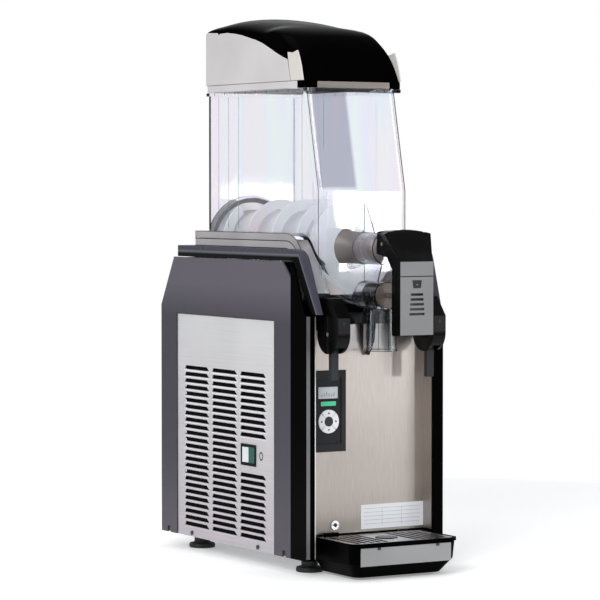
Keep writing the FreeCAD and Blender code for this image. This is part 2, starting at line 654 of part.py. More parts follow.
def tap_piston():
    tap = "tap_height"
    core = rod("piston_core", "15.4", "38", ("0", "-205", tap), "+Y")
    head = rod("piston_front", "19.5", "4.5", ("0", "-212", tap), "+Y")
    stem = rod("piston_stem", "4", "72", ("0", "-277", tap), "+Y")
    knob = rod("piston_knob", "8", "4", ("0", "-279", tap), "+Y")
    shoulder = rod("piston_shoulder", "17.9", "3", ("0", "-170", tap), "+Y")
    rims = fuse("piston_fuse", core, head, stem, knob, shoulder)
    link = rod("piston_link", "15.4", "4", ("0", "-208", tap), "+Y")
    grooves = [rod(f"groove_{index}", "20", "3.8", ("0", f"{place_y} - 1.9", tap), "+Y")
               for index, place_y in enumerate(RING_PLACES)]
    cores = [rod(f"groove_core_{index}", "13.9", "3.8", ("0", f"{place_y} - 1.9", tap), "+Y")
             for index, place_y in enumerate(RING_PLACES)]
    cutters = [cut(f"groove_ring_{index}", groove, middle)
               for index, (groove, middle) in enumerate(zip(grooves, cores))]
    node("tap_piston", cut("piston_cut", fuse("piston_all", rims, link), *cutters))


def piston_seals():
    rings = []
    for place_y in RING_PLACES:
        ring = doc.addObject("Part::Torus", f"o_ring_{len(rings)}")
        bind(ring, Radius1="15.95", Radius2="1.9")
        rings.append(place(ring, ("0", str(place_y), "tap_height"), "+Y"))
    node("piston_seals", group("piston_seals_group", *rings))


def handle_outline():
    """The handle from the side: a lever whose hood leans back over the pivot."""
    front = size("handle_front") - size("plate_thickness")
    low, top, brow = size("handle_low"), size("hood_top"), size("hood_lean") - front
    return [(-270, low), (-front, low), (-front, size("hood_foot")), (brow, top - 4), (brow + 8, top),
            (-232, top - 1), (-228, top - 6), (-227, 495), (-256, 490), (-270, 472)]


def hood_cheek(sign):
    """The wedge on one side that widens the hood towards the top of its front."""
    front, top = size("handle_front") - size("plate_thickness"), size("hood_top")
    brow, half = size("hood_lean") - front, size("handle_half")
    inner = sign * (half - 1)
    corners = [Vec(inner, -front, size("hood_foot")), Vec(inner, brow, top - 4), Vec(inner, -229, top - 6)]
    tip = Part.Vertex(Vec(sign * (half + size("hood_flare")), brow, top - 4))
    return Part.makeLoft([Part.makePolygon(corners + corners[:1]), tip], True, True)


def handle_shell():
    """The pull handle: a hood over the pivot and a hollow lever in front of the tap."""
    half, low = size("handle_half"), size("handle_low")
    outer = slab(handle_outline(), "x", -half, half).fuse([hood_cheek(1), hood_cheek(-1)])
    inside = face_of(handle_outline(), "x").makeOffset2D(-3)
    inside.translate(Vec(3 - half, 0, 0))
    inside = inside.extrude(Vec(2 * half - 6, 0, 0))

    def crown(drop):
        """The hood's top is an arc across the handle; below it the crown takes nothing away."""
        radius, top = size("hood_crown"), size("hood_top")
        arch = tube_solid(radius - drop, 120, (0, -320, top - radius), (0, 1, 0))
        return arch.fuse(block((-60, -320, low - 10), (60, -200, top - radius)))

    outer = outer.common(crown(0)).cut(inside.common(crown(3)))
    tap = size("tap_height")
    yoke = block((-5, -274, tap - 16), (5, -266, tap + 6))
    entry = block((-9, -274, tap - 48), (9, -266, tap - 27))
    lane = block((-5, -274, tap - 30), (5, -266, tap))
    lug_half = size("lug_width") / 2 + 1
    lug_slot = block((-lug_half, -262, 485), (lug_half, -226, 522))
    pin = tube_solid(size("pin_radius") + 0.02, 80, (-40, -size("pivot_y"), size("pivot_z")), (1, 0, 0))
    for tool in (yoke, entry, lane, lug_slot, pin):
        outer = outer.cut(tool)
    feature("handle_shell", outer)


def handle_plate():
    """The pale front plate, with a seam, a plain recess and five grip bars."""
    plate = new_body("handle_plate")
    front = "handle_front - plate_thickness"
    outline = rectangle("0.6 - handle_half", "handle_low + 1", "handle_half - 0.6", "484")
    pad(plate, sketch(plate, "XZ_Plane", "plate_outline", [outline], front), "plate_thickness")
    doc.recompute()
    bars = [rectangle(f"-{11.2 + 0.65 * bar}", f"{432.5 - 7.4 * bar}", f"{11.2 + 0.65 * bar}",
                      f"{436.3 - 7.4 * bar}") for bar in range(5)]
    pocket(plate, sketch(plate, "XZ_Plane", "grip_bars", bars))


def pivot_pin():
    node("pivot_pin", rod("pivot_rod", "pin_radius", "2 * handle_half - 2",
                          ("1 - handle_half", "-pivot_y", "pivot_z"), "+X"))


def return_spring():
    """A torsion spring in two coils round the pivot pin."""
    coils = []
    for start in (-19, 9):
        ring = Part.Wire(Part.makeCircle(0.8, Vec(5.4, 0, 0), Vec(0, 1, 0)))
        place_at = (start, -size("pivot_y"), size("pivot_z"))
        coils.append(helix_tube(2.4, 9.6, 5.4, ring, place_at, TURN["+X"]))
    feature("return_spring", Part.Compound(coils))


# ---------------------------------------------------------------- latches and drip guide
def latch_housing(side, sign):
    near, far = size("ear_in"), size("ear_out")
    front, low, top = size("ear_front"), size("ear_low"), size("ear_top")
    pin_y, pin_z, back = size("latch_y"), size("latch_z"), size("panel_front") + 0.2
    radius = front - pin_y

    def form(inset, start, end):
        upper = [(-front + inset, pin_z), (-front + inset, 398), (-201, top - inset), (-170, top - inset),
                 (-back, 418 - inset), (-back, pin_z + 16 + inset),
                 (-pin_y + radius - inset, pin_z + 4 + inset),
                 (-pin_y + radius - inset, pin_z)]
        return slab(upper, "x", start, end).fuse(tube_solid(radius - inset, end - start,
                                                           (start, -pin_y, pin_z), (1, 0, 0)))

    ear = form(0, near, far).cut(form(3, near + 3, far - 3))
    middle = (near + far) / 2
    ear = ear.cut(block((middle - 7.2, -pin_y - 22, low - 5), (middle + 7.2, -pin_y + 22, pin_z - 8)))
    ear = ear.cut(tube_solid(size("pin_radius") + 0.02, 60, (near - 10, -pin_y, pin_z), (1, 0, 0)))
    if sign < 0:
        ear = ear.mirror(Vec(0, 0, 0), Vec(1, 0, 0))
    feature(f"latch_housing_{side}", ear)


def latch_lever(side, sign):
    middle = f"{sign} * (ear_in + ear_out) / 2"
    hub = rod(f"hub_{side}", "9", "12.6", (f"{middle} - 6.3", "-latch_y", "latch_z"), "+X")
    tail = box(f"tail_{side}", (f"{middle} - 6.3", "-latch_y - 4", "302"),
               (f"{middle} + 6.3", "-latch_y + 4", "latch_z"))
    hole = rod(f"hub_hole_{side}", "pin_radius + 0.06", "30", (f"{middle} - 15", "-latch_y", "latch_z"), "+X")
    node(f"latch_lever_{side}", cut(f"lever_cut_{side}", fuse(f"lever_fuse_{side}", hub, tail), hole))


def latch_pins():
    pins = [rod(f"latch_pin_{index}", "pin_radius", "ear_out - ear_in",
                (start, "-latch_y", "latch_z"), "+X") for index, start in enumerate(("ear_in", "-ear_out"))]
    node("latch_pins", group("latch_pins_group", *pins))


def front_beam():
    """The bar between the latch ears, with the pointed guide that leads condensate to the tray."""
    bar = box("beam_bar", ("0.2 - ear_in", "-panel_front - 15", "beam_low"),
              ("ear_in - 0.2", "-panel_front - 1", "beam_top"))
    guide = doc.addObject("PartDesign::Body", "drip_guide")
    tip = "(beam_low - 49)"
    outline = [("0", tip), ("9", f"{tip} + 22"), ("11", "beam_low + 4"), ("-11", "beam_low + 4"),
               ("-9", f"{tip} + 22")]
    pad(guide, sketch(guide, "XZ_Plane", "guide_outline", [outline], "panel_front + 1"), "10")
    node("front_beam", fuse("beam_fuse", bar, guide))


# ---------------------------------------------------------------- control unit
def unit_frame():
    frame = new_body("control_frame")
    outer = rectangle("-unit_x - unit_half", "unit_low", "-unit_x + unit_half", "unit_top")
    inner = rectangle("-unit_x - unit_half + 8", "unit_low + 12", "-unit_x + unit_half - 8", "unit_top - 12")
    pad(frame, sketch(frame, "XZ_Plane", "unit_outline", [outer, inner], "panel_front"), "4")


def unit_bezel():
    bezel = new_body("keypad_bezel")
    left, right = "(-unit_x - unit_half + 8.2)", "(-unit_x + unit_half - 8.2)"
    outer = rectangle(left, "unit_low + 12.2", right, "unit_top - 12.2")
    window = rectangle(f"{left} + 5", "270", f"{right} - 5", "288.5")
    light = rectangle("-unit_x - 13.5", "259", "-unit_x + 13.5", "266")
    pad(bezel, sketch(bezel, "XZ_Plane", "bezel_outline", [outer, window, light], "panel_front"), "2.5")
    ring = bezel.newObject("Sketcher::SketchObject", "wheel_circle")
    plane = next(item for item in bezel.Origin.OriginFeatures if item.Role == "XZ_Plane")
    ring.AttachmentSupport = [(plane, "")]
    ring.MapMode = "FlatFace"
    ring.addGeometry(Part.Circle(Vec(-60, 230, 0), Vec(0, 0, 1), 10), False)
    for kind, text in (("DistanceX", "-unit_x"), ("DistanceY", "wheel_z")):
        rule = ring.addConstraint(Sketcher.Constraint(kind, -1, 1, 0, 3, 1.0))
        ring.setExpression(f"Constraints[{rule}]", with_cells(text))
    rule = ring.addConstraint(Sketcher.Constraint("Radius", 0, 10))
    ring.setExpression(f"Constraints[{rule}]", with_cells("wheel_radius + key_gap"))
    pocket(bezel, ring)


def display_windows():
    """The display's pane and the status light's slim lens below it."""
    left, right = "-unit_x - unit_half + 13.4", "-unit_x + unit_half - 13.4"
    pane = box("display_pane", (left, "-panel_front - 1.8", "270.2"), (right, "-panel_front", "288.3"))
    lens = box("status_lens", ("-unit_x - 13.3", "-panel_front - 2.9", "259.2"),
               ("-unit_x + 13.3", "-panel_front", "265.8"))
    node("display_windows", group("display_windows_group", pane, lens))


def keypad():
    """Four arrow keys, quarters of a ring, round a centre key."""
    start = ("-unit_x", "-panel_front", "wheel_z")
    spins = {"key_up": 45, "key_right": -45, "key_down": -135, "key_left": 135}
    gap_angle = 4
    for name, spin in spins.items():
        sector = rod(f"{name}_sector", "wheel_radius", "4.2", start, "-Y", 90 - gap_angle,
                     spin + gap_angle / 2)
        middle = rod(f"{name}_middle", "hub_radius + key_gap", "6", ("-unit_x", "1 - panel_front", "wheel_z"),
                     "-Y")
        node(name, cut(f"{name}_cut", sector, middle))
    node("key_menu", rod("key_menu_disc", "hub_radius", "4.6", start, "-Y"))


# ---------------------------------------------------------------- power switch
def switch_bezel():
    outer_x, plate_x = "-body_width / 2", "(louver_recess - body_width / 2)"
    flange = box("bezel_flange", (outer_x, "switch_y - switch_half", "switch_z - switch_high"),
                 (plate_x, "switch_y + switch_half", "switch_z + switch_high"))
    well = box("bezel_well", (plate_x, "switch_y - switch_half + 2.2", "switch_z - switch_high + 2.2"),
               (f"{plate_x} + 16", "switch_y + switch_half - 2.2", "switch_z + switch_high - 2.2"))
    hole = box("bezel_hole", (f"{outer_x} - 1", "switch_y - 20", "switch_z - 13.2"),
               (f"{plate_x} + 14", "switch_y + 20", "switch_z + 13.2"))
    node("switch_bezel", cut("switch_bezel_cut", fuse("switch_bezel_fuse", flange, well), hole))


def switch_rocker():
    """A rocker whose rear half stands proud and whose front half is pressed in."""
    rocker = new_body("switch_rocker")
    face = "(-body_width / 2 + 2.4)"
    plan = [(f"{face} - 2.2", "switch_y + 19"), (face, "switch_y"), (face, "switch_y - 19"),
            (f"{face} + 6", "switch_y - 14"), (f"{face} + 6", "switch_y + 14")]
    plan = plan[::-1]
    pad(rocker, sketch(rocker, "XY_Plane", "rocker_plan", [plan], "switch_z - 12.8"), "25.6")


# ---------------------------------------------------------------- drip tray
def tray_outline(half, front, corner, height):
    """A wire seen from above: square at the back, rounded at the two front corners."""
    back = -size("tray_back")
    bend = corner * (1 - math.sqrt(0.5))
    points = [Vec(-half, back, height), Vec(half, back, height), Vec(half, corner - front, height),
              Vec(half - bend, bend - front, height), Vec(half - corner, -front, height),
              Vec(corner - half, -front, height), Vec(bend - half, bend - front, height),
              Vec(-half, corner - front, height)]
    edges = [Part.makeLine(points[0], points[1]), Part.makeLine(points[1], points[2]),
             Part.Arc(points[2], points[3], points[4]).toShape(), Part.makeLine(points[4], points[5]),
             Part.Arc(points[5], points[6], points[7]).toShape(), Part.makeLine(points[7], points[0])]
    return Part.Wire(edges)


def drip_tray():
    """The tray: walls that draw in towards the bottom, under a rim, open at the top."""
    half, front, corner = size("tray_half"), size("tray_front"), size("tray_corner")
    top, low, wall = size("tray_top"), size("tray_low"), size("tray_wall")

    def form(inset, bottom, height):
        levels = [(bottom, half - 19, front - 20, corner - 2), (26, half - 4, front - 3.5, corner),
                  (height, half - 1.5, front - 1.5, corner)]
        wires = [tray_outline(across - inset, along - inset, bend - inset * 0.5, level)
                 for level, across, along, bend in levels]
        return Part.makeLoft(wires, True, True)

    outer = form(0, low, top)
    rim = Part.Face(tray_outline(half, front, corner, top - 5)).extrude(Vec(0, 0, 5))
    inner = form(wall, low + wall, top + 1)
    inner = inner.cut(block((-half, -size("tray_back") - wall, low), (half, 0, top + 5)))
    ledge = Part.Face(tray_outline(half - 3.5, front - 3.5, corner - 2, top - 2.2)).extrude(Vec(0, 0, 5))
    ledge = ledge.cut(block((-half, -size("tray_back") - wall, low), (half, 0, top + 5)))
    tray = outer.fuse(rim).cut(inner).cut(ledge)
    strip = size("strip_half") + 0.2
    recess = block((-strip, -front - 5, size("strip_low") - 0.2),
                   (strip, 3.2 - front, size("strip_top") + 0.2))
    feature("drip_tray", tray.cut(recess).removeSplitter())


def tray_strip():
    node("tray_strip", box("strip_plate", ("-strip_half", "2 - tray_front", "strip_low"),
                           ("strip_half", "3.1 - tray_front", "strip_top")))


def drip_grid():
    """A steel grid with two groups of slots and a round hole for the float."""
    grid = new_body("drip_grid")
    half, front = "(tray_half - 4.2)", "(tray_front - 4.2)"
    back = "(tray_back + tray_wall + 0.6)"
    outline = [(f"-{half}", f"-{back}"), (f"-{half}", f"11 - {front}"), (f"11 - {half}", f"-{front}"),
               (f"{half} - 11", f"-{front}"), (half, f"11 - {front}"), (half, f"-{back}")]
    flat = sketch(grid, "XY_Plane", "grid_outline", [outline], "tray_top - 2.1")
    pad(grid, flat, "grid_thickness")
    middle = "((tray_front + tray_back) / 2)"
    for name, sign in (("left", "-"), ("right", "")):
        near = f"{sign}28"
        slot = rectangle(f"{near} - grid_slot / 2", f"-{middle} - 47", f"{near} + grid_slot / 2",
                         f"47 - {middle}")
        lines = sketch(grid, "XY_Plane", f"grid_slot_{name}", [slot])
        pattern(grid, pocket(grid, lines), lines, "H_Axis", "grid_pitch * 4", "5", backward=bool(sign))
    sides = 24
    turn = 2 * math.pi / sides
    ring = [(f"{round(math.cos(turn * step), 6)} * (float_radius + 1)",
             f"{round(math.sin(turn * step), 6)} * (float_radius + 1) - {middle}") for step in range(sides)]
    pocket(grid, sketch(grid, "XY_Plane", "float_hole", [ring]))


def tray_float():
    """The round float that rises through the grid when the tray is full."""
    middle = "-(tray_front + tray_back) / 2"
    disc = rod("float_disc", "float_radius", "6", ("0", middle, "tray_top - 5.5"), "+Z")
    stem = rod("float_stem", "4", "30", ("0", middle, "tray_top - 34"), "+Z")
    node("tray_float", fuse("float_fuse", disc, stem))


# ---------------------------------------------------------------- lid
LID_RIDGE = [(204, 838), (196, 853), (170, 865), (133, 870), (87, 867), (27, 858), (-20, 846), (-49, 830),
             (-73, 811), (-91, 790), (-104, 768), (-110.5, 750.3)]


def lid_block(inset):
    """The lid's domed form: a ridge line seen from the side, within a crown seen from the front."""
    low, ridge, half = size("lid_low"), size("lid_ridge"), size("lid_half") - 1.2 - inset
    middle = (size("lid_back") - size("lid_front")) / 2
    length = size("lid_back") + size("lid_front")
    scale = (length - 2 * inset) / length
    shift = ridge - inset - 870
    points = [Vec(0, middle + (along - middle) * scale, high + shift) for along, high in LID_RIDGE]
    curve = Part.BSplineCurve()
    curve.interpolate(points)
    floor = low - 2 * inset
    corners = [Vec(0, points[-1].y, floor), Vec(0, points[0].y, floor)]
    edges = [curve.toShape(), Part.makeLine(corners[0], corners[1]), Part.makeLine(corners[1], points[0])]
    if points[-1].z > floor + 1e-6:
        edges.append(Part.makeLine(points[-1], corners[0]))
    side = Part.Face(Part.Wire(Part.__sortEdges__(edges)))
    side.translate(Vec(-half, 0, 0))
    side = side.extrude(Vec(2 * half, 0, 0))
    crown_side = ridge - 33 - inset
    arc = Part.Arc(Vec(-half, -200, crown_side), Vec(0, -200, ridge - inset), Vec(half, -200, crown_side))
    walls = [Vec(half, -200, crown_side), Vec(half, -200, floor), Vec(-half, -200, floor),
             Vec(-half, -200, crown_side)]
    front = [arc.toShape()] + [Part.makeLine(a, b) for a, b in zip(walls, walls[1:])]
    crown = Part.Face(Part.Wire(front)).extrude(Vec(0, 500, 0))
    return side.common(crown)


def lid_region():
    """Where the dark cover takes over from the pale shell: above its side line, and all the front."""
    inner_half = size("lid_half") - 1.2 - size("lid_wall")
    front = block((-inner_half, -130, 740), (inner_half, -50, 890))
    above = slab([(215, 849), (161, 843), (150, 841.5), (108, 842), (59, 834), (20, 824.5), (-21, 808.5),
                 (-61, 796), (-66, 809), (-90, 809), (-98, 785), (-105, 761.5), (-108, 761.5), (-108, 740),
                 (-130, 740), (-130, 890), (215, 890)], "x", -120, 120)
    return above.fuse(front)


def lid():
    half, low = size("lid_half"), size("lid_low")
    front, back, wall, band = size("lid_front"), size("lid_back"), size("lid_wall"), size("lid_band")
    shape = lid_block(0)
    ring = block((-half, -front, low), (half, back, low + band))
    upright = [edge for edge in ring.Edges if edge.BoundBox.ZMax - edge.BoundBox.ZMin > band - 1]
    ring = ring.makeFillet(10, upright)
    inner = block((wall - half, size("lid_step") - front, low - 5), (half - wall, back - wall, low + band))
    shape = shape.fuse(ring).cut(lid_block(wall)).cut(inner)
    feature("lid_cover", shape.common(lid_region()))
    feature("lid_shell", shape.cut(lid_region()))


def lid_strip():
    node("lid_strip", box("lid_strip_plate", ("-66", "-lid_front - 1.2", "lid_low + 0.6"),
                          ("66", "-lid_front", "lid_low + lid_band - 0.8")))


# ---------------------------------------------------------------- plates, plug and inlet
def rating_plate():
    node("rating_plate", box("rating_pane", ("-plate_left", "-panel_front - 0.6", "plate_low"),
                             ("plate_right", "-panel_front", "plate_top")))


def front_plug():
    rim = rod("plug_rim", "plug_radius", "2.4", ("-plug_x", "-panel_front", "plug_z"), "-Y")
    dimple = rod("plug_dimple", "3.2", "3", ("-plug_x", "-panel_front - 1.2", "plug_z"), "-Y")
    node("front_plug", cut("plug_cut", rim, dimple))


def power_inlet():
    """A three-pole appliance inlet in the back panel."""
    back = "(body_back - 3 + steel)"
    flange = box("inlet_flange", ("60", back, "60"), ("108", "body_back", "88"))
    cavity = box("inlet_cavity", ("70", "body_back - 1.3", "64"), ("98", "body_back + 1", "84"))
    pins = [box(f"inlet_pin_{index}", (f"{left}", "body_back - 1.6", f"{low}"),
                (f"{left} + 2", "body_back - 0.1", f"{low} + 6"))
            for index, (left, low) in enumerate(((76, 68), (90, 68), (83, 74)))]
    node("power_inlet", fuse("inlet_fuse", cut("inlet_cut", flange, cavity), *pins))


# ---------------------------------------------------------------- cooling unit
def compressor():
    middle = ("0", "compressor_y", "body_low + steel + 8")
    pot = rod("compressor_pot", "compressor_radius", "96", middle, "+Z")
    dome = cone("compressor_dome", "compressor_radius", "compressor_radius - 34", "26",
                ("0", "compressor_y", "body_low + steel + 104"), "+Z")
    skirt = box("compressor_plate", ("-80", "compressor_y - 60", "body_low + steel"),
                ("80", "compressor_y + 60", "body_low + steel + 8"))
    node("compressor", fuse("compressor_fuse", pot, dome, skirt))


def condenser():
    core = box("condenser_core", ("-106", "-66", "body_low + steel"), ("-84", "106", "296"))
    gaps = [box(f"condenser_gap_{index}", ("-107", f"{along}", "60"), ("-92", f"{along} + 10", "286"))
            for index, along in enumerate(range(-56, 96, 20))]
    node("condenser", cut("condenser_cut", core, *gaps))


def fan_shroud():
    """The condenser's shroud, with the fan motor on its stand."""
    plate = box("shroud_plate", ("-83.5", "-66", "body_low + steel"), ("-80.5", "106", "296"))
    hole = rod("shroud_hole", "fan_radius + 3", "20", ("-92", "fan_y", "fan_z"), "+X")
    case = rod("fan_case", "26", "38", ("-58", "fan_y", "fan_z"), "+X")
    stand = box("fan_stand", ("-54", "fan_y - 12", "body_low + steel"), ("-30", "fan_y + 12", "fan_z"))
    foot = box("fan_foot", ("-82", "fan_y - 12", "body_low + steel"), ("-30", "fan_y + 12", "body_low + 5"))
    shaft = rod("fan_shaft", "3.92", "20", ("-77", "fan_y", "fan_z"), "+X")
    node("fan_shroud", fuse("fan_fuse", cut("shroud_cut", plate, hole), case, stand, foot, shaft))


def fan_blades():
    hub = tube_solid(18, 14, (-77, size("fan_y"), size("fan_z")), (1, 0, 0))
    blades = []
    for index in range(5):
        blade = block((-1, -13, 12), (1, 13, size("fan_radius") - 3))
        blade.rotate(Vec(0, 0, 0), Vec(0, 0, 1), 28)
        blade.rotate(Vec(0, 0, 0), Vec(1, 0, 0), 72 * index)
        blade.translate(Vec(-70, size("fan_y"), size("fan_z")))
        blades.append(blade)
    bore = tube_solid(4, 30, (-90, size("fan_y"), size("fan_z")), (1, 0, 0))
    feature("fan_blades", hub.fuse(blades).cut(bore))


# ---------------------------------------------------------------- build and export
def build():
    base_frame()
    feet()
    side_moulding("left", "-body_width / 2")
    side_moulding("right", "body_width / 2 - skin")
    front_pillar("left", "-1")
    front_pillar("right", "1")
    louver_panel("left", "louver_recess - body_width / 2")
    louver_panel("right", "body_width / 2 - louver_recess - steel")
    for make in (back_panel, front_panel, top_deck, condensate_trough, bulkhead, panel_screws, bowl,
                 bowl_gasket, bowl_seal, evaporator_drum, evaporator_coil, gearmotor, drive_shaft,
                 shaft_seal, auger, auger_nose, tap_piston, piston_seals, handle_shell, handle_plate,
                 pivot_pin, return_spring, latch_pins, front_beam, unit_frame, unit_bezel,
                 display_windows, keypad, switch_bezel, switch_rocker, drip_tray, tray_strip,
                 drip_grid, tray_float, lid, lid_strip, rating_plate, front_plug, power_inlet,
                 compressor, condenser, fan_shroud, fan_blades):
        make()
    for side, sign in (("left", -1), ("right", 1)):
        latch_housing(side, sign)
        latch_lever(side, sign)
    doc.recompute()


def write_steps():
    """Check every object of the document, then write one STEP file per sub-part."""
    for thing in doc.Objects:
        if "Invalid" in thing.State or "Error" in thing.State:
            raise RuntimeError(f"{thing.Name} failed: {thing.State}")
    for name, thing in NODES.items():
        if thing.Shape.isNull() or not thing.Shape.isValid():
            raise RuntimeError(f"{name} has no valid shape")
    os.makedirs("parts", exist_ok=True)
    for name, thing in NODES.items():
        thing.Shape.exportStep(f"parts/{name}.step")
    print(f"{len(NODES)} sub-parts written")


build()
write_steps()
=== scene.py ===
import bmesh
import bpy
import json
import math
from mathutils import Euler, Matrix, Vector


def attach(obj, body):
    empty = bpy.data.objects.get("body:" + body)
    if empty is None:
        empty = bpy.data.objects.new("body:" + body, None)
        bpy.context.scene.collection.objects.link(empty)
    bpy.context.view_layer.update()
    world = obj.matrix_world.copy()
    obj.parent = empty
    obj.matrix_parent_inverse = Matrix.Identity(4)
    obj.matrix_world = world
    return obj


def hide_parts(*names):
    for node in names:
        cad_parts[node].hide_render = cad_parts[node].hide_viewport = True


# Slushie machine.  Metres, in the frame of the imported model: +X right, front faces -Y, +Z up.
# The light and dark bands of some finishes are placed by position, and are not cast by the lights.
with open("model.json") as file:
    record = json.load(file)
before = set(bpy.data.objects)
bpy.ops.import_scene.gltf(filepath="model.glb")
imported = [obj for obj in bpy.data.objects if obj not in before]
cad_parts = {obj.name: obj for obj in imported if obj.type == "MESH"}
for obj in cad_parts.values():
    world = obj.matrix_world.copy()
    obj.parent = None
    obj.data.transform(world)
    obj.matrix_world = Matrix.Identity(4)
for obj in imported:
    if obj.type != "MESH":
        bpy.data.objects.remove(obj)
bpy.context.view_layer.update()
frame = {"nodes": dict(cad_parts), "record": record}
nodes = frame["nodes"]
slot_of = {part["node"]: part["material_slot"] for part in frame["record"]["subparts"]}


# ---------------------------------------------------------------- materials
class Finish:
    """A Principled material whose colour, roughness and relief come from procedural textures."""

    def __init__(self, name, **constants):
        self.material = bpy.data.materials.new(name)
        self.material.use_nodes = True
        self.tree = self.material.node_tree
        self.shader = self.tree.nodes["Principled BSDF"]
        self.place = self.tree.nodes.new("ShaderNodeTexCoord").outputs["Object"]
        for socket, value in constants.items():
            self.shader.inputs[socket.replace("_", " ")].default_value = value

    def link(self, source, target):
        self.tree.links.new(source, target)

    def stretched(self, scale):
        mapping = self.tree.nodes.new("ShaderNodeMapping")
        mapping.inputs["Scale"].default_value = scale
        self.link(self.place, mapping.inputs["Vector"])
        return mapping.outputs["Vector"]

    def noise(self, scale, detail=2.0, stretch=(1, 1, 1)):
        texture = self.tree.nodes.new("ShaderNodeTexNoise")
        texture.inputs["Scale"].default_value = scale
        texture.inputs["Detail"].default_value = detail
        self.link(self.stretched(stretch), texture.inputs["Vector"])
        return texture.outputs["Fac"]

    def ramp(self, factor, low, high, start=0.3, end=0.7):
        """Colours or greys between two ends of a texture's range."""
        ramp = self.tree.nodes.new("ShaderNodeValToRGB")
        for element, at, value in zip(ramp.color_ramp.elements, (start, end), (low, high)):
            element.position = at
            element.color = (*value, 1) if isinstance(value, tuple) else (value, value, value, 1)
        self.link(factor, ramp.inputs["Fac"])
        return ramp.outputs["Color"]

    def colour(self, factor, low, high, start=0.3, end=0.7):
        self.link(self.ramp(factor, low, high, start, end), self.shader.inputs["Base Color"])
        return self

    def roughness(self, factor, low, high):
        self.link(self.ramp(factor, low, high), self.shader.inputs["Roughness"])
        return self

    def share(self, value, start, end):
        """How far a value has gone from its start to its end, from 0 to 1."""
        spread = self.tree.nodes.new("ShaderNodeMapRange")
        spread.inputs["From Min"].default_value = start
        spread.inputs["From Max"].default_value = end
        self.link(value, spread.inputs["Value"])
        return spread.outputs["Result"]

    def relief(self, factor, depth):
        """A bump of a depth in metres."""
        bump = self.tree.nodes.new("ShaderNodeBump")
        bump.inputs["Strength"].default_value = 1.0
        bump.inputs["Distance"].default_value = depth
        self.link(factor, bump.inputs["Height"])
        self.link(bump.outputs["Normal"], self.shader.inputs["Normal"])
        return self


# Scale and detail of the noise for each kind of unevenness.
SKIN = (1400, 3)
WEAR = (35, 4)
CLOUD = (9,)
STEEL_CLOUD = (6, 3)
RIPPLE = (30, 2)
CLEAR_WEAR = (18, 2)

# Depths of the fine relief in metres.
MOULDED_SKIN = 0.00002
SMOOTH_SKIN = 0.000004
BRUSHED_SKIN = 0.00003
CLEAR_SKIN = 0.00001


def plastic(name, dark, light, low, high, depth=MOULDED_SKIN, **constants):
    """Moulded plastic: a faint cloud in its colour, uneven gloss, and a fine skin texture."""
    made = Finish(name, **constants)
    made.colour(made.noise(*CLOUD), dark, light).roughness(made.noise(*WEAR), low, high)
    return made.relief(made.noise(*SKIN), depth).material


def brushed(name, dark, light, low, high, stretch, depth=BRUSHED_SKIN):
    """Steel with long fine scratches along the axis that the stretch leaves short."""
    made = Finish(name, Metallic=1.0)
    grain = made.noise(1, 4, stretch)
    made.colour(grain, dark, light).roughness(made.noise(*STEEL_CLOUD), low, high)
    return made.relief(grain, depth).material


def deck_finish():
    """The deck's rim: blue-grey, with a painted highlight line and then a painted shadow along its lower
    edge.
    """
    top, bend, radius, slope = 0.501, 0.130, 0.030, math.radians(66)
    level_band, slope_band = 0.018, 0.010
    # The pale line is a painted highlight, the shade tone below it painted shade, and the dark gap under the
    # rim a painted shadow.
    face, line, shade = (0.065, 0.063, 0.088), (0.15, 0.148, 0.165, 1), (0.085, 0.083, 0.095, 1)
    gap = (0.0005, 0.0005, 0.0005)
    face_end, painted_highlight_at, shade_at, painted_shadow_from = 0.38, 0.45, 0.58, 0.68
    made = Finish("deck_plastic", IOR=1.2)
    place = made.tree.nodes.new("ShaderNodeNewGeometry").outputs["Position"]
    outward = Vector((0, -math.sin(slope), math.cos(slope)))
    reach = outward.dot(Vector((0, -bend, top - radius))) + radius
    depths = []
    for direction, start, band in (((0, 0, 1), top, level_band), (outward, reach, slope_band)):
        along = made.tree.nodes.new("ShaderNodeVectorMath")
        along.operation = "DOT_PRODUCT"
        along.inputs[1].default_value = direction
        made.link(place, along.inputs[0])
        depths.append(made.share(along.outputs["Value"], start, start - band))
    nearest = made.tree.nodes.new("ShaderNodeMath")
    nearest.operation = "MINIMUM"
    made.link(depths[0], nearest.inputs[0])
    made.link(depths[1], nearest.inputs[1])
    bands = made.ramp(nearest.outputs["Value"], face, gap, face_end, painted_shadow_from)
    bands.node.color_ramp.elements.new(painted_highlight_at).color = line
    bands.node.color_ramp.elements.new(shade_at).color = shade
    made.link(bands, made.shader.inputs["Base Color"])
    made.roughness(made.noise(*WEAR), 0.2, 0.3)
    return made.relief(made.noise(*SKIN), SMOOTH_SKIN).material


def side_finish():
    """The side frame: a painted highlight makes the shoulder lighter than the slightly darker purple-grey
    frame below.
    """
    made = Finish("side_plastic", Specular_IOR_Level=0.3)
    place = made.tree.nodes.new("ShaderNodeNewGeometry").outputs["Position"]
    split = made.tree.nodes.new("ShaderNodeSeparateXYZ")
    made.link(place, split.inputs["Vector"])
    # The lighter shoulder is a painted highlight, where the upper side slopes towards the light.
    shoulder_low, shoulder_high = 0.385, 0.440
    frame_tone, painted_light_shoulder_tone = (0.055, 0.050, 0.065), (0.112, 0.104, 0.125)
    height = made.share(split.outputs["Z"], shoulder_low, shoulder_high)
    made.colour(height, frame_tone, painted_light_shoulder_tone, 0.0, 1.0)
    made.roughness(made.noise(*WEAR), 0.28, 0.36)
    return made.relief(made.noise(*SKIN), SMOOTH_SKIN).material


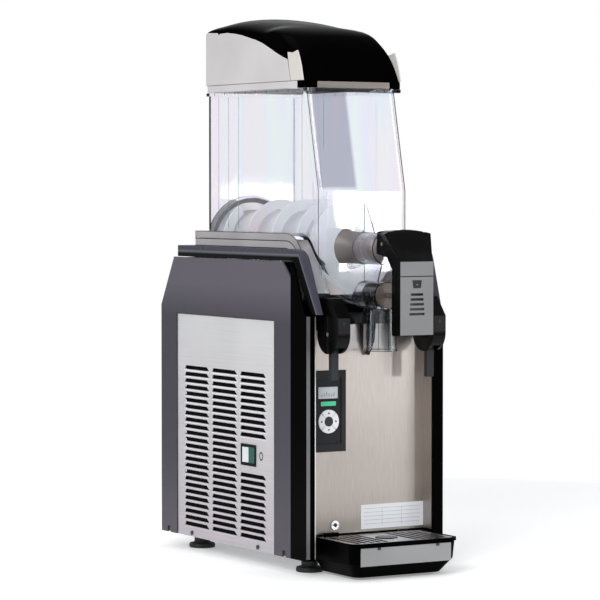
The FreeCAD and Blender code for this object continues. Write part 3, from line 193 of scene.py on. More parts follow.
def steel_with_painted_shade(name, stretch, painted_shade_span, low, high, gloss):
    """Brushed steel with painted shade that makes it darker towards the floor; low and high each hold two
    tones of the grain.
    """
    made = Finish(name, Metallic=1.0)
    place = made.tree.nodes.new("ShaderNodeSeparateXYZ")
    made.link(made.tree.nodes.new("ShaderNodeNewGeometry").outputs["Position"], place.inputs["Vector"])
    grain = made.noise(1, 4, stretch)
    painted_shade_blend = made.tree.nodes.new("ShaderNodeMixRGB")
    made.link(made.share(place.outputs["Z"], *painted_shade_span), painted_shade_blend.inputs["Fac"])
    made.link(made.ramp(grain, *low), painted_shade_blend.inputs["Color1"])
    made.link(made.ramp(grain, *high), painted_shade_blend.inputs["Color2"])
    made.link(painted_shade_blend.outputs["Color"], made.shader.inputs["Base Color"])
    return made.roughness(made.noise(*STEEL_CLOUD), *gloss).relief(grain, BRUSHED_SKIN).material


def clear(name, tint, rough, **constants):
    """Clear tinted plastic with a faint ripple."""
    made = Finish(name, Transmission_Weight=1.0, **constants)
    made.colour(made.noise(5), tint, tuple(min(1.0, value + 0.02) for value in tint))
    made.roughness(made.noise(*CLEAR_WEAR), rough, rough + 0.03)
    return made.relief(made.noise(*RIPPLE), CLEAR_SKIN).material


def moulded_clear(name, tints, edge_painted_shade, rough, **constants):
    """Clear plastic with pastel bands, a painted reflection as a blue-grey patch on the front pane, and
    painted shade on edges seen edge-on.
    """
    first_band, last_band, band_stretch = 0.34, 0.66, (9, 9, 1.5)
    # Edges seen edge-on turn dark: painted shade for the dark refraction there.
    edge_shade_from, edge_shade_full = 0.74, 0.98
    # The patch on the front pane is a painted reflection of the bowl's inside.
    patch_left, patch_right = -0.0795, -0.0100
    patch_fades = (("Y", -0.090, -0.105), ("Z", 0.592, 0.598))
    patch_start, patch_solid, patch_solid_end, patch_end = 0.02, 0.05, 0.90, 0.98
    patch_tint = (0.50, 0.51, 0.58)
    made = Finish(name, Transmission_Weight=1.0, **constants)
    bands = made.ramp(made.noise(1, 1, band_stretch), tints[0], tints[-1], first_band, last_band)
    stops = bands.node.color_ramp.elements
    for index, tint in enumerate(tints[1:-1], start=1):
        along = index / (len(tints) - 1)
        stops.new(first_band + (last_band - first_band) * along).color = (*tint, 1)
    place = made.tree.nodes.new("ShaderNodeSeparateXYZ")
    made.link(made.place, place.inputs["Vector"])
    across = made.share(place.outputs["X"], patch_left, patch_right)
    painted_reflection_mask = made.ramp(across, 0.0, 0.0, patch_start, patch_end)
    for stop in (patch_solid, patch_solid_end):
        painted_reflection_mask.node.color_ramp.elements.new(stop).color = (1, 1, 1, 1)
    for axis, near, far in patch_fades:
        both = made.tree.nodes.new("ShaderNodeMath")
        both.operation = "MULTIPLY"
        made.link(painted_reflection_mask, both.inputs[0])
        made.link(made.share(place.outputs[axis], near, far), both.inputs[1])
        painted_reflection_mask = both.outputs["Value"]
    painted_reflection_mix = made.tree.nodes.new("ShaderNodeMixRGB")
    painted_reflection_mix.inputs["Color2"].default_value = (*patch_tint, 1)
    made.link(painted_reflection_mask, painted_reflection_mix.inputs["Fac"])
    made.link(bands, painted_reflection_mix.inputs["Color1"])
    facing = made.tree.nodes.new("ShaderNodeLayerWeight").outputs["Facing"]
    mix = made.tree.nodes.new("ShaderNodeMixRGB")
    mix.inputs["Color2"].default_value = (*edge_painted_shade, 1)
    made.link(made.ramp(facing, 0.0, 1.0, edge_shade_from, edge_shade_full), mix.inputs["Fac"])
    made.link(painted_reflection_mix.outputs["Color"], mix.inputs["Color1"])
    made.link(mix.outputs["Color"], made.shader.inputs["Base Color"])
    made.roughness(made.noise(*CLEAR_WEAR), rough, rough + 0.03)
    return made.relief(made.noise(*RIPPLE), CLEAR_SKIN).material


GRAIN_Z = (2400, 2400, 40)
GRAIN_Y = (900, 6, 900)
GRAIN_X = (6, 900, 900)

FINISHES = {
    "black_plastic": plastic("black_plastic", (0.001, 0.001, 0.001), (0.003, 0.003, 0.003), 0.16, 0.26,
                             Specular_IOR_Level=0.4, IOR=1.25),
    "side_plastic": side_finish(),
    "deck_plastic": deck_finish(),
    "pillar_black": plastic("pillar_black", (0.0003, 0.0003, 0.0003), (0.0008, 0.0008, 0.0008), 0.3, 0.4,
                            SMOOTH_SKIN, IOR=1.06),
    "lever_grey": plastic("lever_grey", (0.022, 0.024, 0.027), (0.034, 0.037, 0.041), 0.3, 0.4,
                          Specular_IOR_Level=0.2),
    "ear_grey": plastic("ear_grey", (0.012, 0.012, 0.013), (0.020, 0.020, 0.021), 0.35, 0.45,
                        Specular_IOR_Level=0.2),
    "inner_plastic": plastic("inner_plastic", (0.10, 0.10, 0.11), (0.15, 0.15, 0.16), 0.45, 0.6),
    "gasket_rubber": plastic("gasket_rubber", (0.44, 0.42, 0.42), (0.54, 0.52, 0.52), 0.28, 0.42),
    "foot_rubber": plastic("foot_rubber", (0.008, 0.008, 0.008), (0.016, 0.016, 0.016), 0.5, 0.7, 0.00006),
    "dark_screw": plastic("dark_screw", (0.02, 0.02, 0.02), (0.04, 0.04, 0.04), 0.25, 0.4, Metallic=0.6),
    # The white plastic glows faintly: painted light that brightens the auger.
    "white_plastic": plastic("white_plastic", (0.90, 0.90, 0.93), (0.96, 0.96, 0.98), 0.3, 0.45,
                             Emission_Color=(0.96, 0.97, 1.0, 1.0), Emission_Strength=0.10),
    "nose_plastic": plastic("nose_plastic", (0.20, 0.165, 0.145), (0.28, 0.235, 0.21), 0.25, 0.4),
    "piston_plastic": plastic("piston_plastic", (0.075, 0.058, 0.050), (0.135, 0.108, 0.094), 0.2, 0.35),
    "handle_grey": plastic("handle_grey", (0.20, 0.20, 0.205), (0.24, 0.24, 0.245), 0.34, 0.46,
                           Specular_IOR_Level=0.3),
    "bezel_plastic": plastic("bezel_plastic", (0.008, 0.009, 0.012), (0.014, 0.015, 0.019), 0.25, 0.4,
                             Specular_IOR_Level=0.2),
    "display_glass": plastic("display_glass", (0.50, 0.54, 0.56), (0.62, 0.66, 0.68), 0.05, 0.12,
                             Coat_Weight=1.0, Coat_Roughness=0.03),
    "key_white": plastic("key_white", (0.72, 0.73, 0.75), (0.82, 0.83, 0.85), 0.35, 0.5),
    "key_dark": plastic("key_dark", (0.006, 0.006, 0.007), (0.012, 0.012, 0.013), 0.35, 0.5),
    "switch_green": plastic("switch_green", (0.0, 0.075, 0.055), (0.0, 0.12, 0.09), 0.08, 0.16,
                            Coat_Weight=0.6, Coat_Roughness=0.05),
    "lid_silver": plastic("lid_silver", (0.62, 0.59, 0.59), (0.70, 0.67, 0.67), 0.3, 0.42),
    "plate_white": plastic("plate_white", (0.74, 0.76, 0.80), (0.82, 0.84, 0.87), 0.35, 0.45),
    "compressor_paint": plastic("compressor_paint", (0.01, 0.01, 0.01), (0.03, 0.03, 0.03), 0.3, 0.5),
    "galvanised_steel": brushed("galvanised_steel", (0.42, 0.43, 0.44), (0.58, 0.59, 0.60), 0.4, 0.6,
                                (60, 60, 60)),
    # Both steels below carry painted shade: darker towards the floor.
    "panel_steel": steel_with_painted_shade("panel_steel", GRAIN_Y, (0.03, 0.38),
                                ((0.60, 0.565, 0.595), (0.68, 0.64, 0.67)),
                                ((0.95, 0.945, 0.95), (1.0, 0.995, 1.0)), (0.55, 0.65)),
    "brushed_steel": brushed("brushed_steel", (0.84, 0.83, 0.81), (0.93, 0.92, 0.90), 0.42, 0.52, GRAIN_Y),
    "front_steel": steel_with_painted_shade("front_steel", GRAIN_Z, (0.06, 0.26),
                                ((0.33, 0.30, 0.275), (0.42, 0.38, 0.35)),
                                ((0.475, 0.43, 0.40), (0.605, 0.55, 0.51)), (0.28, 0.40)),
    "drum_steel": brushed("drum_steel", (0.74, 0.74, 0.75), (0.84, 0.84, 0.85), 0.34, 0.46, GRAIN_X),
    "grid_steel": brushed("grid_steel", (0.60, 0.60, 0.60), (0.74, 0.74, 0.74), 0.22, 0.34, GRAIN_X),
    "chrome": brushed("chrome", (0.72, 0.72, 0.73), (0.82, 0.82, 0.83), 0.06, 0.14, (90, 90, 90), 0.000005),
    "copper": brushed("copper", (0.55, 0.26, 0.15), (0.72, 0.38, 0.24), 0.2, 0.35, (200, 200, 200)),
    "cast_case": brushed("cast_case", (0.40, 0.40, 0.41), (0.55, 0.55, 0.56), 0.4, 0.6, (240, 240, 240)),
    "condenser_fins": brushed("condenser_fins", (0.40, 0.41, 0.42), (0.6, 0.61, 0.62), 0.3, 0.5,
                              (40, 2200, 40), 0.0002),
    "lid_gloss": plastic("lid_gloss", (0.0005, 0.0005, 0.0005), (0.001, 0.001, 0.001), 0.14, 0.22,
                         Specular_IOR_Level=0.05, IOR=1.1, Specular_Tint=(0.42, 0.43, 0.38, 1.0)),
    "lid_cream": plastic("lid_cream", (0.66, 0.63, 0.59), (0.74, 0.70, 0.66), 0.3, 0.42),
    # Black for print and lines, also used as painted shade in holes and gaps.
    "print_and_shade_ink": plastic("print_and_shade_ink", (0.01, 0.01, 0.01), (0.02, 0.02, 0.02), 0.4, 0.5),
    "display_ink": plastic("display_ink", (0.30, 0.34, 0.36), (0.36, 0.40, 0.42), 0.2, 0.3),
    "plate_ink": plastic("plate_ink", (0.30, 0.31, 0.33), (0.40, 0.41, 0.43), 0.4, 0.5),
    "status_green": plastic("status_green", (0.02, 0.40, 0.16), (0.04, 0.52, 0.24), 0.1, 0.2,
                            Emission_Color=(0.05, 0.8, 0.35, 1.0), Emission_Strength=0.25),
    # Painted highlight on the rocker's left half.
    "rocker_highlight": plastic("rocker_highlight", (0.66, 0.72, 0.70), (0.76, 0.80, 0.78), 0.1, 0.2),
    "rib_tint": clear("rib_tint", (0.62, 0.64, 0.72), 0.08, IOR=1.3),
    # A dark tint for the rim ticks, also used as painted shade along the clear edges.
    "edge_tint_and_shade": clear("edge_tint_and_shade", (0.05, 0.08, 0.08), 0.1, IOR=1.3),
    # Painted shade for the bowl's upright edges.
    "edge_shade_dark": plastic("edge_shade_dark", (0.018, 0.028, 0.027), (0.030, 0.044, 0.042), 0.3, 0.4, SMOOTH_SKIN,
                         Specular_IOR_Level=0.1),
    "seal_pale": plastic("seal_pale", (0.60, 0.60, 0.62), (0.70, 0.70, 0.72), 0.3, 0.4),
    "strip_grey": plastic("strip_grey", (0.26, 0.26, 0.265), (0.31, 0.31, 0.315), 0.4, 0.5,
                          Specular_IOR_Level=0.3),
    "strip_brown": brushed("strip_brown", (0.20, 0.175, 0.16), (0.28, 0.25, 0.23), 0.3, 0.4, GRAIN_X),
    # Painted reflection on the left pillar's glossy black.
    "pillar_reflection_grey": plastic("pillar_reflection_grey", (0.10, 0.10, 0.105), (0.15, 0.15, 0.155), 0.3, 0.4),
    # Painted shade for the handle's recess floor.
    "recess_shade_grey": plastic("recess_shade_grey", (0.022, 0.022, 0.025), (0.035, 0.035, 0.038), 0.5, 0.6,
                           Specular_IOR_Level=0.2),
    # Painted shade: the dark sheet behind the louvre slots.
    "slot_shade_mat": plastic("slot_shade_mat", (0.003, 0.003, 0.003), (0.006, 0.006, 0.006), 0.8, 0.9, 0.0003,
                          Specular_IOR_Level=0.1),
    "flange_grey": plastic("flange_grey", (0.36, 0.34, 0.35), (0.46, 0.44, 0.45), 0.16, 0.26),
    "clear_plastic": moulded_clear("clear_plastic",
                                   ((0.95, 0.91, 0.94), (0.90, 0.915, 0.98), (0.91, 0.955, 0.955),
                                    (0.90, 0.915, 0.98), (0.96, 0.92, 0.955)),
                                   (0.22, 0.26, 0.27), 0.01, IOR=1.45),
}


def soften(piece, width=0.0, angle=32):
    """Smooth shading with sharp creases kept, and a small round on the edges."""
    for polygon in piece.data.polygons:
        polygon.use_smooth = True
    weld = piece.modifiers.new("weld", "WELD")
    weld.merge_threshold = 0.00001
    if width:
        bevel = piece.modifiers.new("round", "BEVEL")
        bevel.width = width
        bevel.segments = 3
        bevel.limit_method = "ANGLE"
        bevel.angle_limit = math.radians(angle)
        bevel.harden_normals = True
    split = piece.modifiers.new("creases", "EDGE_SPLIT")
    split.split_angle = math.radians(angle)
    even = piece.modifiers.new("flat_faces", "WEIGHTED_NORMAL")
    even.keep_sharp = True


SPECIAL_FINISH = {"bowl_seal": "seal_pale", "tray_strip": "strip_grey", "lid_strip": "strip_brown",
                  "front_pillar_left": "pillar_black", "front_pillar_right": "pillar_black",
                  "louver_panel_left": "panel_steel", "louver_panel_right": "panel_steel",
                  "drip_tray": "pillar_black", "control_frame": "ear_grey",
                  "latch_lever_left": "lever_grey", "latch_lever_right": "lever_grey"}

for name, piece in nodes.items():
    piece.data.materials.clear()
    piece.data.materials.append(FINISHES[SPECIAL_FINISH.get(name, slot_of[name])])
    soften(piece, angle=12 if name == "bowl" else 32)


# ---------------------------------------------------------------- mesh building
MM = 0.001


def circle(sides):
    """The angles of a circle's points, with the first one again at the end."""
    return [2 * math.pi * step / sides for step in range(sides + 1)]


def rounded_end(half, start, end, corner=9, steps=6):
    """An open outline that runs along one side, round both corners of an end, and back along the other."""
    onwards = math.copysign(1, end - start)
    line = [(-half, start), (-half, end - onwards * corner)]
    for step in range(1, steps + 1):
        turn = math.pi / 2 * step / steps
        line.append((corner - half - corner * math.cos(turn), end - onwards * corner * (1 - math.sin(turn))))
    return line + [(-x, y) for x, y in line[::-1]]


class Form:
    """A mesh put together from simple shapes, given in millimetres of the model's frame."""

    def __init__(self):
        self.mesh = bmesh.new()

    def point(self, x, y, z):
        return self.mesh.verts.new((x * MM, y * MM, z * MM))

    def prism(self, outline, axis, low, high):
        """An outline pulled along an axis; 'x' takes (y, z) corners, 'y' takes (x, z), 'z' takes (x, y)."""
        lift = {"x": lambda a, b, c: (c, a, b), "y": lambda a, b, c: (a, c, b),
                "z": lambda a, b, c: (a, b, c)}[axis]
        near = [self.point(*lift(a, b, low)) for a, b in outline]
        far = [self.point(*lift(a, b, high)) for a, b in outline]
        self.mesh.faces.new(near[::-1])
        self.mesh.faces.new(far)
        for index in range(len(outline)):
            after = (index + 1) % len(outline)
            self.mesh.faces.new((near[index], near[after], far[after], far[index]))
        return self

    def block(self, low, high):
        corners = [(low[1], low[2]), (high[1], low[2]), (high[1], high[2]), (low[1], high[2])]
        return self.prism(corners, "x", low[0], high[0])

    def rod(self, start, end, radius, far_radius=None, sides=40):
        """A round bar or cone between two points."""
        start, end = Vector(start), Vector(end)
        axis = (end - start).normalized()
        across = axis.orthogonal().normalized()
        beside = axis.cross(across)
        rings = []
        for centre, width in ((start, radius), (end, radius if far_radius is None else far_radius)):
            rings.append([self.point(*(centre + (across * math.cos(t) + beside * math.sin(t)) * width))
                          for t in circle(sides)[:-1]])
        self.mesh.faces.new(rings[0][::-1])
        self.mesh.faces.new(rings[1])
        for step in range(sides):
            after = (step + 1) % sides
            self.mesh.faces.new((rings[0][step], rings[0][after], rings[1][after], rings[1][step]))
        return self

    def wire(self, points, radius, sides=8):
        """A thin line through points."""
        for start, end in zip(points, points[1:]):
            self.rod(start, end, radius, sides=sides)
        return self

    def ring(self, centre, radius, inner, low, high, squeeze=1.0, sides=48):
        """A flat ring that faces -X, between two depths; squeeze narrows it along Y."""
        loops = []
        for width, depth in ((radius, low), (radius, high), (inner, high), (inner, low)):
            loops.append([self.point(depth, centre[0] + width * squeeze * math.cos(turn),
                                     centre[1] + width * math.sin(turn)) for turn in circle(sides)[:-1]])
        for near, far in zip(loops, loops[1:] + loops[:1]):
            for step in range(sides):
                after = (step + 1) % sides
                self.mesh.faces.new((near[step], near[after], far[after], far[step]))
        return self

    def skin(self, rows):
        """A sheet through rows of points that all have the same count."""
        made = [[self.point(*spot) for spot in row] for row in rows]
        for lower, upper in zip(made, made[1:]):
            for index in range(len(lower) - 1):
                self.mesh.faces.new((lower[index], lower[index + 1], upper[index + 1], upper[index]))
        return self

    def channel(self, outer, inner, low, high):
        """A strip between two open outlines, with its ends closed."""
        paths = ((outer, low), (outer, high), (inner, high), (inner, low))
        loops = [[self.point(x, y, z) for x, y in path] for path, z in paths]
        for near, far in zip(loops, loops[1:] + loops[:1]):
            for index in range(len(outer) - 1):
                self.mesh.faces.new((near[index], near[index + 1], far[index + 1], far[index]))
        for index in (0, len(outer) - 1):
            self.mesh.faces.new([loop[index] for loop in loops])
        return self

    def finish(self, name, body, slot, finish=None, stands_for=(), rounding=0.0, angle=35, wall=0.0):
        """Turn the form into a piece that rides on a body."""
        bmesh.ops.remove_doubles(self.mesh, verts=self.mesh.verts, dist=0.000002)
        bmesh.ops.recalc_face_normals(self.mesh, faces=self.mesh.faces)
        data = bpy.data.meshes.new(name)
        self.mesh.to_mesh(data)
        self.mesh.free()
        piece = bpy.data.objects.new(name, data)
        bpy.context.scene.collection.objects.link(piece)
        data.materials.append(finish or FINISHES[slot])
        if wall:
            solid = piece.modifiers.new("wall", "SOLIDIFY")
            solid.thickness = wall * MM
            solid.offset = -1
        soften(piece, rounding * MM, angle)
        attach(piece, body)
        if stands_for:
            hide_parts(*stands_for)
        return piece


def smooth_line(points, steps):
    """Points along a curve that passes through every given point, with even steps between them."""
    line = []
    for index in range(len(points) - 1):
        before = Vector(points[max(index - 1, 0)])
        here, there = Vector(points[index]), Vector(points[index + 1])
        after = Vector(points[min(index + 2, len(points) - 1)])
        for step in range(steps):
            t = step / steps
            bend = 2 * before - 5 * here + 4 * there - after
            twist = 3 * here - before - 3 * there + after
            line.append(0.5 * (2 * here + (there - before) * t + bend * t * t + twist * t ** 3))
    return line + [Vector(points[-1])]


def bent_line(top, bend, radius, slope, tip, back, drop=0.0, steps=8):
    """(y, z) points: level from the back, round a bend, then down a slope to the tip's height."""
    angle = math.radians(slope)
    line = [(back, top - drop)]
    for step in range(steps + 1):
        turn = angle * step / steps
        line.append((-bend - (radius - drop) * math.sin(turn),
                     top - radius + (radius - drop) * math.cos(turn)))
    last_y, last_z = line[-1]
    return line + [(last_y - (last_z - tip) / math.tan(angle), tip)]


# ---------------------------------------------------------------- lid
LID_HALF, LID_FOOT, LID_SEAM = 90.4, 750.5, 762


def lid_dome():
    """The black cover: a crowned shell whose front drops as a visor with flatter shoulders."""
    half, foot = 88.2, 761.6
    ridge = [(203, 842), (202, 852), (198, 857.5), (186, 862), (170, 865), (133, 869.4), (87, 866.5),
             (27, 857.5), (-20, 845), (-49, 830), (-73, 811), (-91, 789), (-104, 767), (-107.5, 761.6)]
    shoulder = [(203, 839), (202.5, 845), (200, 848.5), (186, 850), (170, 849.5), (133, 849), (87, 846),
                (27, 838), (-20, 834), (-49, 820), (-73, 803), (-90, 785), (-102, 766), (-105.5, 761.6)]
    rows = []
    across = 15
    visor_start, visor_span = 12, 24
    for over, side in zip(smooth_line(ridge, 5), smooth_line(shoulder, 5)):
        visor = min(1.0, max(0.0, (visor_start - over[0]) / visor_span))
        power = 2.0 + 1.6 * visor
        row = [(-half, side[0], foot), (-half, side[0], (foot + side[1]) / 2)]
        for step in range(-across, across + 1):
            share = math.sin(math.pi / 2 * step / across)
            lift = (1 - abs(share) ** power) ** (1 / power)
            spot = side + (over - side) * lift
            row.append((half * share, spot[0], spot[1]))
        row += [(half, side[0], (foot + side[1]) / 2), (half, side[0], foot)]
        rows.append(row)
    form = Form().skin(rows)
    form.finish("lid_dome", "lid", "black_plastic", finish=FINISHES["lid_gloss"], stands_for=["lid_cover"],
                angle=50, wall=1.6)

    outline = rounded_end(LID_HALF, -92, -110.8)
    inner = [(x * 0.955, max(y, -106) if abs(x) < 82 else y + 3) for x, y in outline]
    rim = Form().channel(outline, inner, LID_FOOT, 761.4)
    rim.finish("lid_front_band", "lid", "black_plastic", finish=FINISHES["lid_gloss"], rounding=0.5)


def lid_sides():
    """The pale side plates with their notch and front tab, the back wall and the lower band."""
    plate = [(203.6, LID_SEAM), (203.6, 846), (200, 848.5), (165, 846.5), (161, 841.5), (157, 845),
             (133, 845.5), (108, 843), (84, 839.5), (59, 834), (40, 830), (20, 824.5), (0, 817),
             (-21, 808.5), (-42, 801),
             (-60, 795.5), (-63.5, 780), (-68, 765), (-69, LID_SEAM)]
    tab = [(-60.8, 807), (-62.2, 798), (-65.6, 780), (-70, 765), (-70.8, LID_SEAM), (-109.2, LID_SEAM),
           (-107, 770),
           (-103, 785), (-98, 797), (-91.5, 809), (-76, 805.5)]
    for side, sign in (("left", -1), ("right", 1)):
        form = Form().prism(plate, "x", sign * 88.25, sign * 90.1)
        form.finish(f"lid_side_{side}", "lid", "lid_silver", rounding=0.7,
                    stands_for=["lid_shell"] if side == "left" else ())
        Form().prism(tab, "x", sign * 88.25, sign * 89.9).finish(
            f"lid_tab_{side}", "lid", "lid_silver", finish=FINISHES["lid_cream"], rounding=0.7)
    back_wall = [(-88.1, LID_SEAM), (88.1, LID_SEAM), (88.1, 838), (60, 842), (0, 845), (-60, 842),
                 (-88.1, 838)]
    Form().prism(back_wall, "y", 200.4, 202.2).finish("lid_back", "lid", "lid_silver", rounding=0.7)
    line = rounded_end(LID_HALF, -91.8, 203.9)
    inner = [(x * 0.97, min(y, 201.2)) for x, y in line]
    band = Form().channel(line, inner, LID_FOOT, 761.2)
    band.finish("lid_band", "lid", "lid_silver", rounding=0.5)


# ---------------------------------------------------------------- louvres and switch mark
def louver_lips():
    """The bright lip under each slot of the side panels, and the slot's slanted ends."""
    first, length, gap, height, pitch = -52, 82.6, 9.8, 6.6, 10.7
    columns, slots, highest_slot = 3, 25, 304.5
    switch_rows = range(10, 15)
    front_slant, rear_slant = 8.0, -3.5
    for side, sign in (("left", -1), ("right", 1)):
        form = Form()
        for column in range(columns):
            front = first + column * (length + gap)
            for row in range(slots):
                if column == 0 and row in switch_rows:
                    continue
                top = highest_slot - row * pitch
                low = top - height
                outline = [(sign * 123.4, low - 2.6), (sign * 124.7, low - 0.4), (sign * 124.5, low + 0.5),
                           (sign * 123.4, low + 0.2)]
                form.prism(outline, "y", front + 0.4, front + length - 0.4)
                for end, slant in ((front, front_slant), (front + length, rear_slant)):
                    form.prism([(end, top), (end + slant, top), (end, low + 0.3)], "x",
                               *sorted((sign * 122.7, sign * 123.45)))
        form.finish(f"louver_lips_{side}", "cabinet", "brushed_steel", finish=FINISHES["panel_steel"])


def panel_shadow_lines():
    """A painted shadow line along the rear and top edges of each side panel."""
    for side, sign in (("left", -1), ("right", 1)):
        out, rear, front, low, high = sign * 124.2, 240.5, -78.5, 28, 389
        form = Form()
        form.wire([(out, rear, low), (out, rear, high), (out, front, high)], 0.65)
        form.finish(f"panel_shadow_line_{side}", "cabinet", "brushed_steel", finish=FINISHES["print_and_shade_ink"])


def rubber_feet():
    """Four feet, each a flat round pad on a short stem."""
    profile = [(0, 0), (20.6, 0), (21.5, 1.4), (21.5, 5.2), (20.2, 7.4), (14.6, 8.6), (13, 10.4),
               (13, 26.9), (0, 26.9)]
    turns = circle(40)
    form = Form()
    for across in (-83, 83):
        for along in (-117, 231):
            form.skin([[(across + width * math.cos(turn), along + width * math.sin(turn), high)
                        for turn in turns] for width, high in profile])
    form.finish("rubber_feet", "cabinet", "foot_rubber", stands_for=["feet"])


def louver_shade_sheets():
    """A dark sheet close behind each column of slots: painted shade for the dark inside behind them."""
    near, far, front, pitch, length = 119.4, 117.6, -54, 92.4, 86.6
    whole, around_switch = [(38, 311)], [(38, 151), (195, 311)]
    for side, sign in (("left", -1), ("right", 1)):
        form = Form()
        for column in range(3):
            along = front + column * pitch
            for low, high in whole if column else around_switch:
                end = along + length
                form.prism([(along, low), (end, low), (end, high), (along, high)], "x",
                           *sorted((sign * near, sign * far)))
        form.finish(f"louver_shade_sheet_{side}", "cabinet", "inner_plastic", finish=FINISHES["slot_shade_mat"])


def switch_mark():
    """The printed ring beside the switch, and a painted highlight on the left half of its rocker."""
    Form().ring((-36.5, 174.3), 7.0, 4.7, -123.5, -123.7, squeeze=0.8).finish(
        "switch_mark", "cabinet", "black_plastic", finish=FINISHES["print_and_shade_ink"])
    # The pale left half of the rocker is a painted highlight.
    lens = [(-122.95, 5), (-124.9, 21.4), (-122.6, 21.4), (-121.6, 5)]
    Form().prism(lens, "z", 161.4, 185.2).finish(
        "switch_lens_highlight", "rocker", "switch_green", finish=FINISHES["rocker_highlight"])


# ---------------------------------------------------------------- bowl details
def bowl_details():
    """Ribs on the side walls, painted shade along the upright edges and under the front rim, and ticks on
    the rim.
    """
    form = Form()
    for sign in (-1, 1):
        for along in (177, 144, 111):
            form.rod((sign * 79.1, along, 530), (sign * 79.1, along, 742), 0.55, sides=10)
    form.finish("bowl_ribs", "bowl", "clear_plastic", finish=FINISHES["rib_tint"])

    # Dark strips along the upright edges: painted shade where the clear walls are seen edge-on.
    for side, across, thick in (("left", -78.5, 0.5), ("right", 78.9, 1.4)):
        front = Form()
        front.wire([(across, -136.2, 440), (across, -136.2, 590), (across, -101.4, 749)], thick)
        front.finish(f"bowl_front_edge_shade_{side}", "bowl", "clear_plastic", finish=FINISHES["edge_shade_dark"])
    for side, across, thick in (("left", -81.4, 1.3), ("right", 81.2, 0.5)):
        rear = Form()
        rear.block((across - thick, 203.4, 527), (across + thick, 206.4, 743.5))
        rear.finish(f"bowl_rear_edge_shade_{side}", "bowl", "clear_plastic", finish=FINISHES["edge_shade_dark"])

    ticks = Form()
    for across in range(-70, 71, 14):
        ticks.block((across - 0.8, -113.4, 745.6), (across + 0.8, -112.9, 749.4))
    for sign in (-1, 1):
        for along in range(-90, 190, 34):
            ticks.block((sign * 85.7 - 0.25, along - 0.7, 745.6), (sign * 85.7 + 0.25, along + 0.7, 749.4))
    # A dark line under the front rim: painted shade.
    ticks.block((-85, -113.3, 744.2), (85, -112.7, 745.3))
    ticks.finish("rim_ticks", "bowl", "clear_plastic", finish=FINISHES["edge_tint_and_shade"])


def spout_edge_shade():
    """Dark lines along the thick edges of the clear spout and tap: painted shade where the clear plastic is
    seen edge-on.
    """
    form = Form()
    tap_y, tube_z, upper_tube_z, turns = -191, 430, 502, circle(48)
    for high, radius, thick in ((344.7, 25.9, 0.45), (346.9, 24.2, 0.3), (408.4, 25.6, 0.5)):
        form.wire([(radius * math.cos(turn), radius * math.sin(turn) + tap_y, high) for turn in turns],
                  thick, 6)
    for angle in (-129, -93, 141, -30):
        across, along = math.cos(math.radians(angle)), math.sin(math.radians(angle))
        spot = (25.6 * across, 25.6 * along + tap_y)
        form.wire([(*spot, 346), (*spot, 404)], 0.4, 6)
    for along, radius, high in ((-150, 21.1, tube_z), (-206.8, 20.4, tube_z),
                                (-150, 25.1, upper_tube_z), (-206.6, 24.6, upper_tube_z)):
        form.wire([(radius * math.cos(turn), along, high + radius * math.sin(turn)) for turn in turns],
                  0.45, 6)
    form.finish("spout_edge_shade", "bowl", "clear_plastic", finish=FINISHES["edge_tint_and_shade"])


# ---------------------------------------------------------------- flange
def side_path(line, half, nose_half, bend, nose, sign, out=0.0):
    """A side-view line put onto sides that draw in towards the front."""
    path = []
    for along, high in line:
        drawn = max(0.0, -bend - along) / (nose - bend) * (half - nose_half)
        path.append((sign * (half - drawn + out), along, high))
    return path


def flange_details():
    """The pale outer face of the bowl's flange, with the dark lines above and below it."""
    flange = {"top": 525, "bend": 87, "radius": 50, "slope": 58, "tip": 431, "back": 207}
    plan = {"half": 108, "nose_half": 104, "bend": 87, "nose": 197}
    face, lines, joint = Form(), Form(), Form()
    for sign in (-1, 1):
        rows = [side_path(bent_line(**flange, drop=drop), **plan, sign=sign, out=0.4)
                for drop in (0.8, 10.9)]
        face.skin(rows)
        lines.wire(side_path(bent_line(**flange, drop=0.3), **plan, sign=sign, out=-0.1), 0.55)
        joint.wire(side_path(bent_line(**flange, drop=12.0), **plan, sign=sign, out=-0.2), 0.75)
        joint.wire(side_path(bent_line(**flange, drop=23.4), **plan, sign=sign, out=-0.1), 0.7)
    face.finish("flange_face", "bowl", "clear_plastic", finish=FINISHES["flange_grey"], wall=0.3)
    lines.finish("flange_line", "bowl", "clear_plastic", finish=FINISHES["print_and_shade_ink"])
    joint.finish("gasket_lines", "cabinet", "gasket_rubber", finish=FINISHES["print_and_shade_ink"])


# ---------------------------------------------------------------- pillars and handle
def pillar_reflection_and_edge():
    """A grey strip down the left pillar's front, a painted reflection on its glossy black, and the bright
    edge of the steel beside it.
    """
    Form().block((-124.4, -177.5, 27), (-118.2, -176.8, 399)).finish(
        "pillar_reflection", "cabinet", "black_plastic", finish=FINISHES["pillar_reflection_grey"])
    Form().block((-109.5, -177.5, 27), (-108.1, -176.8, 399)).finish(
        "panel_edge", "cabinet", "brushed_steel")


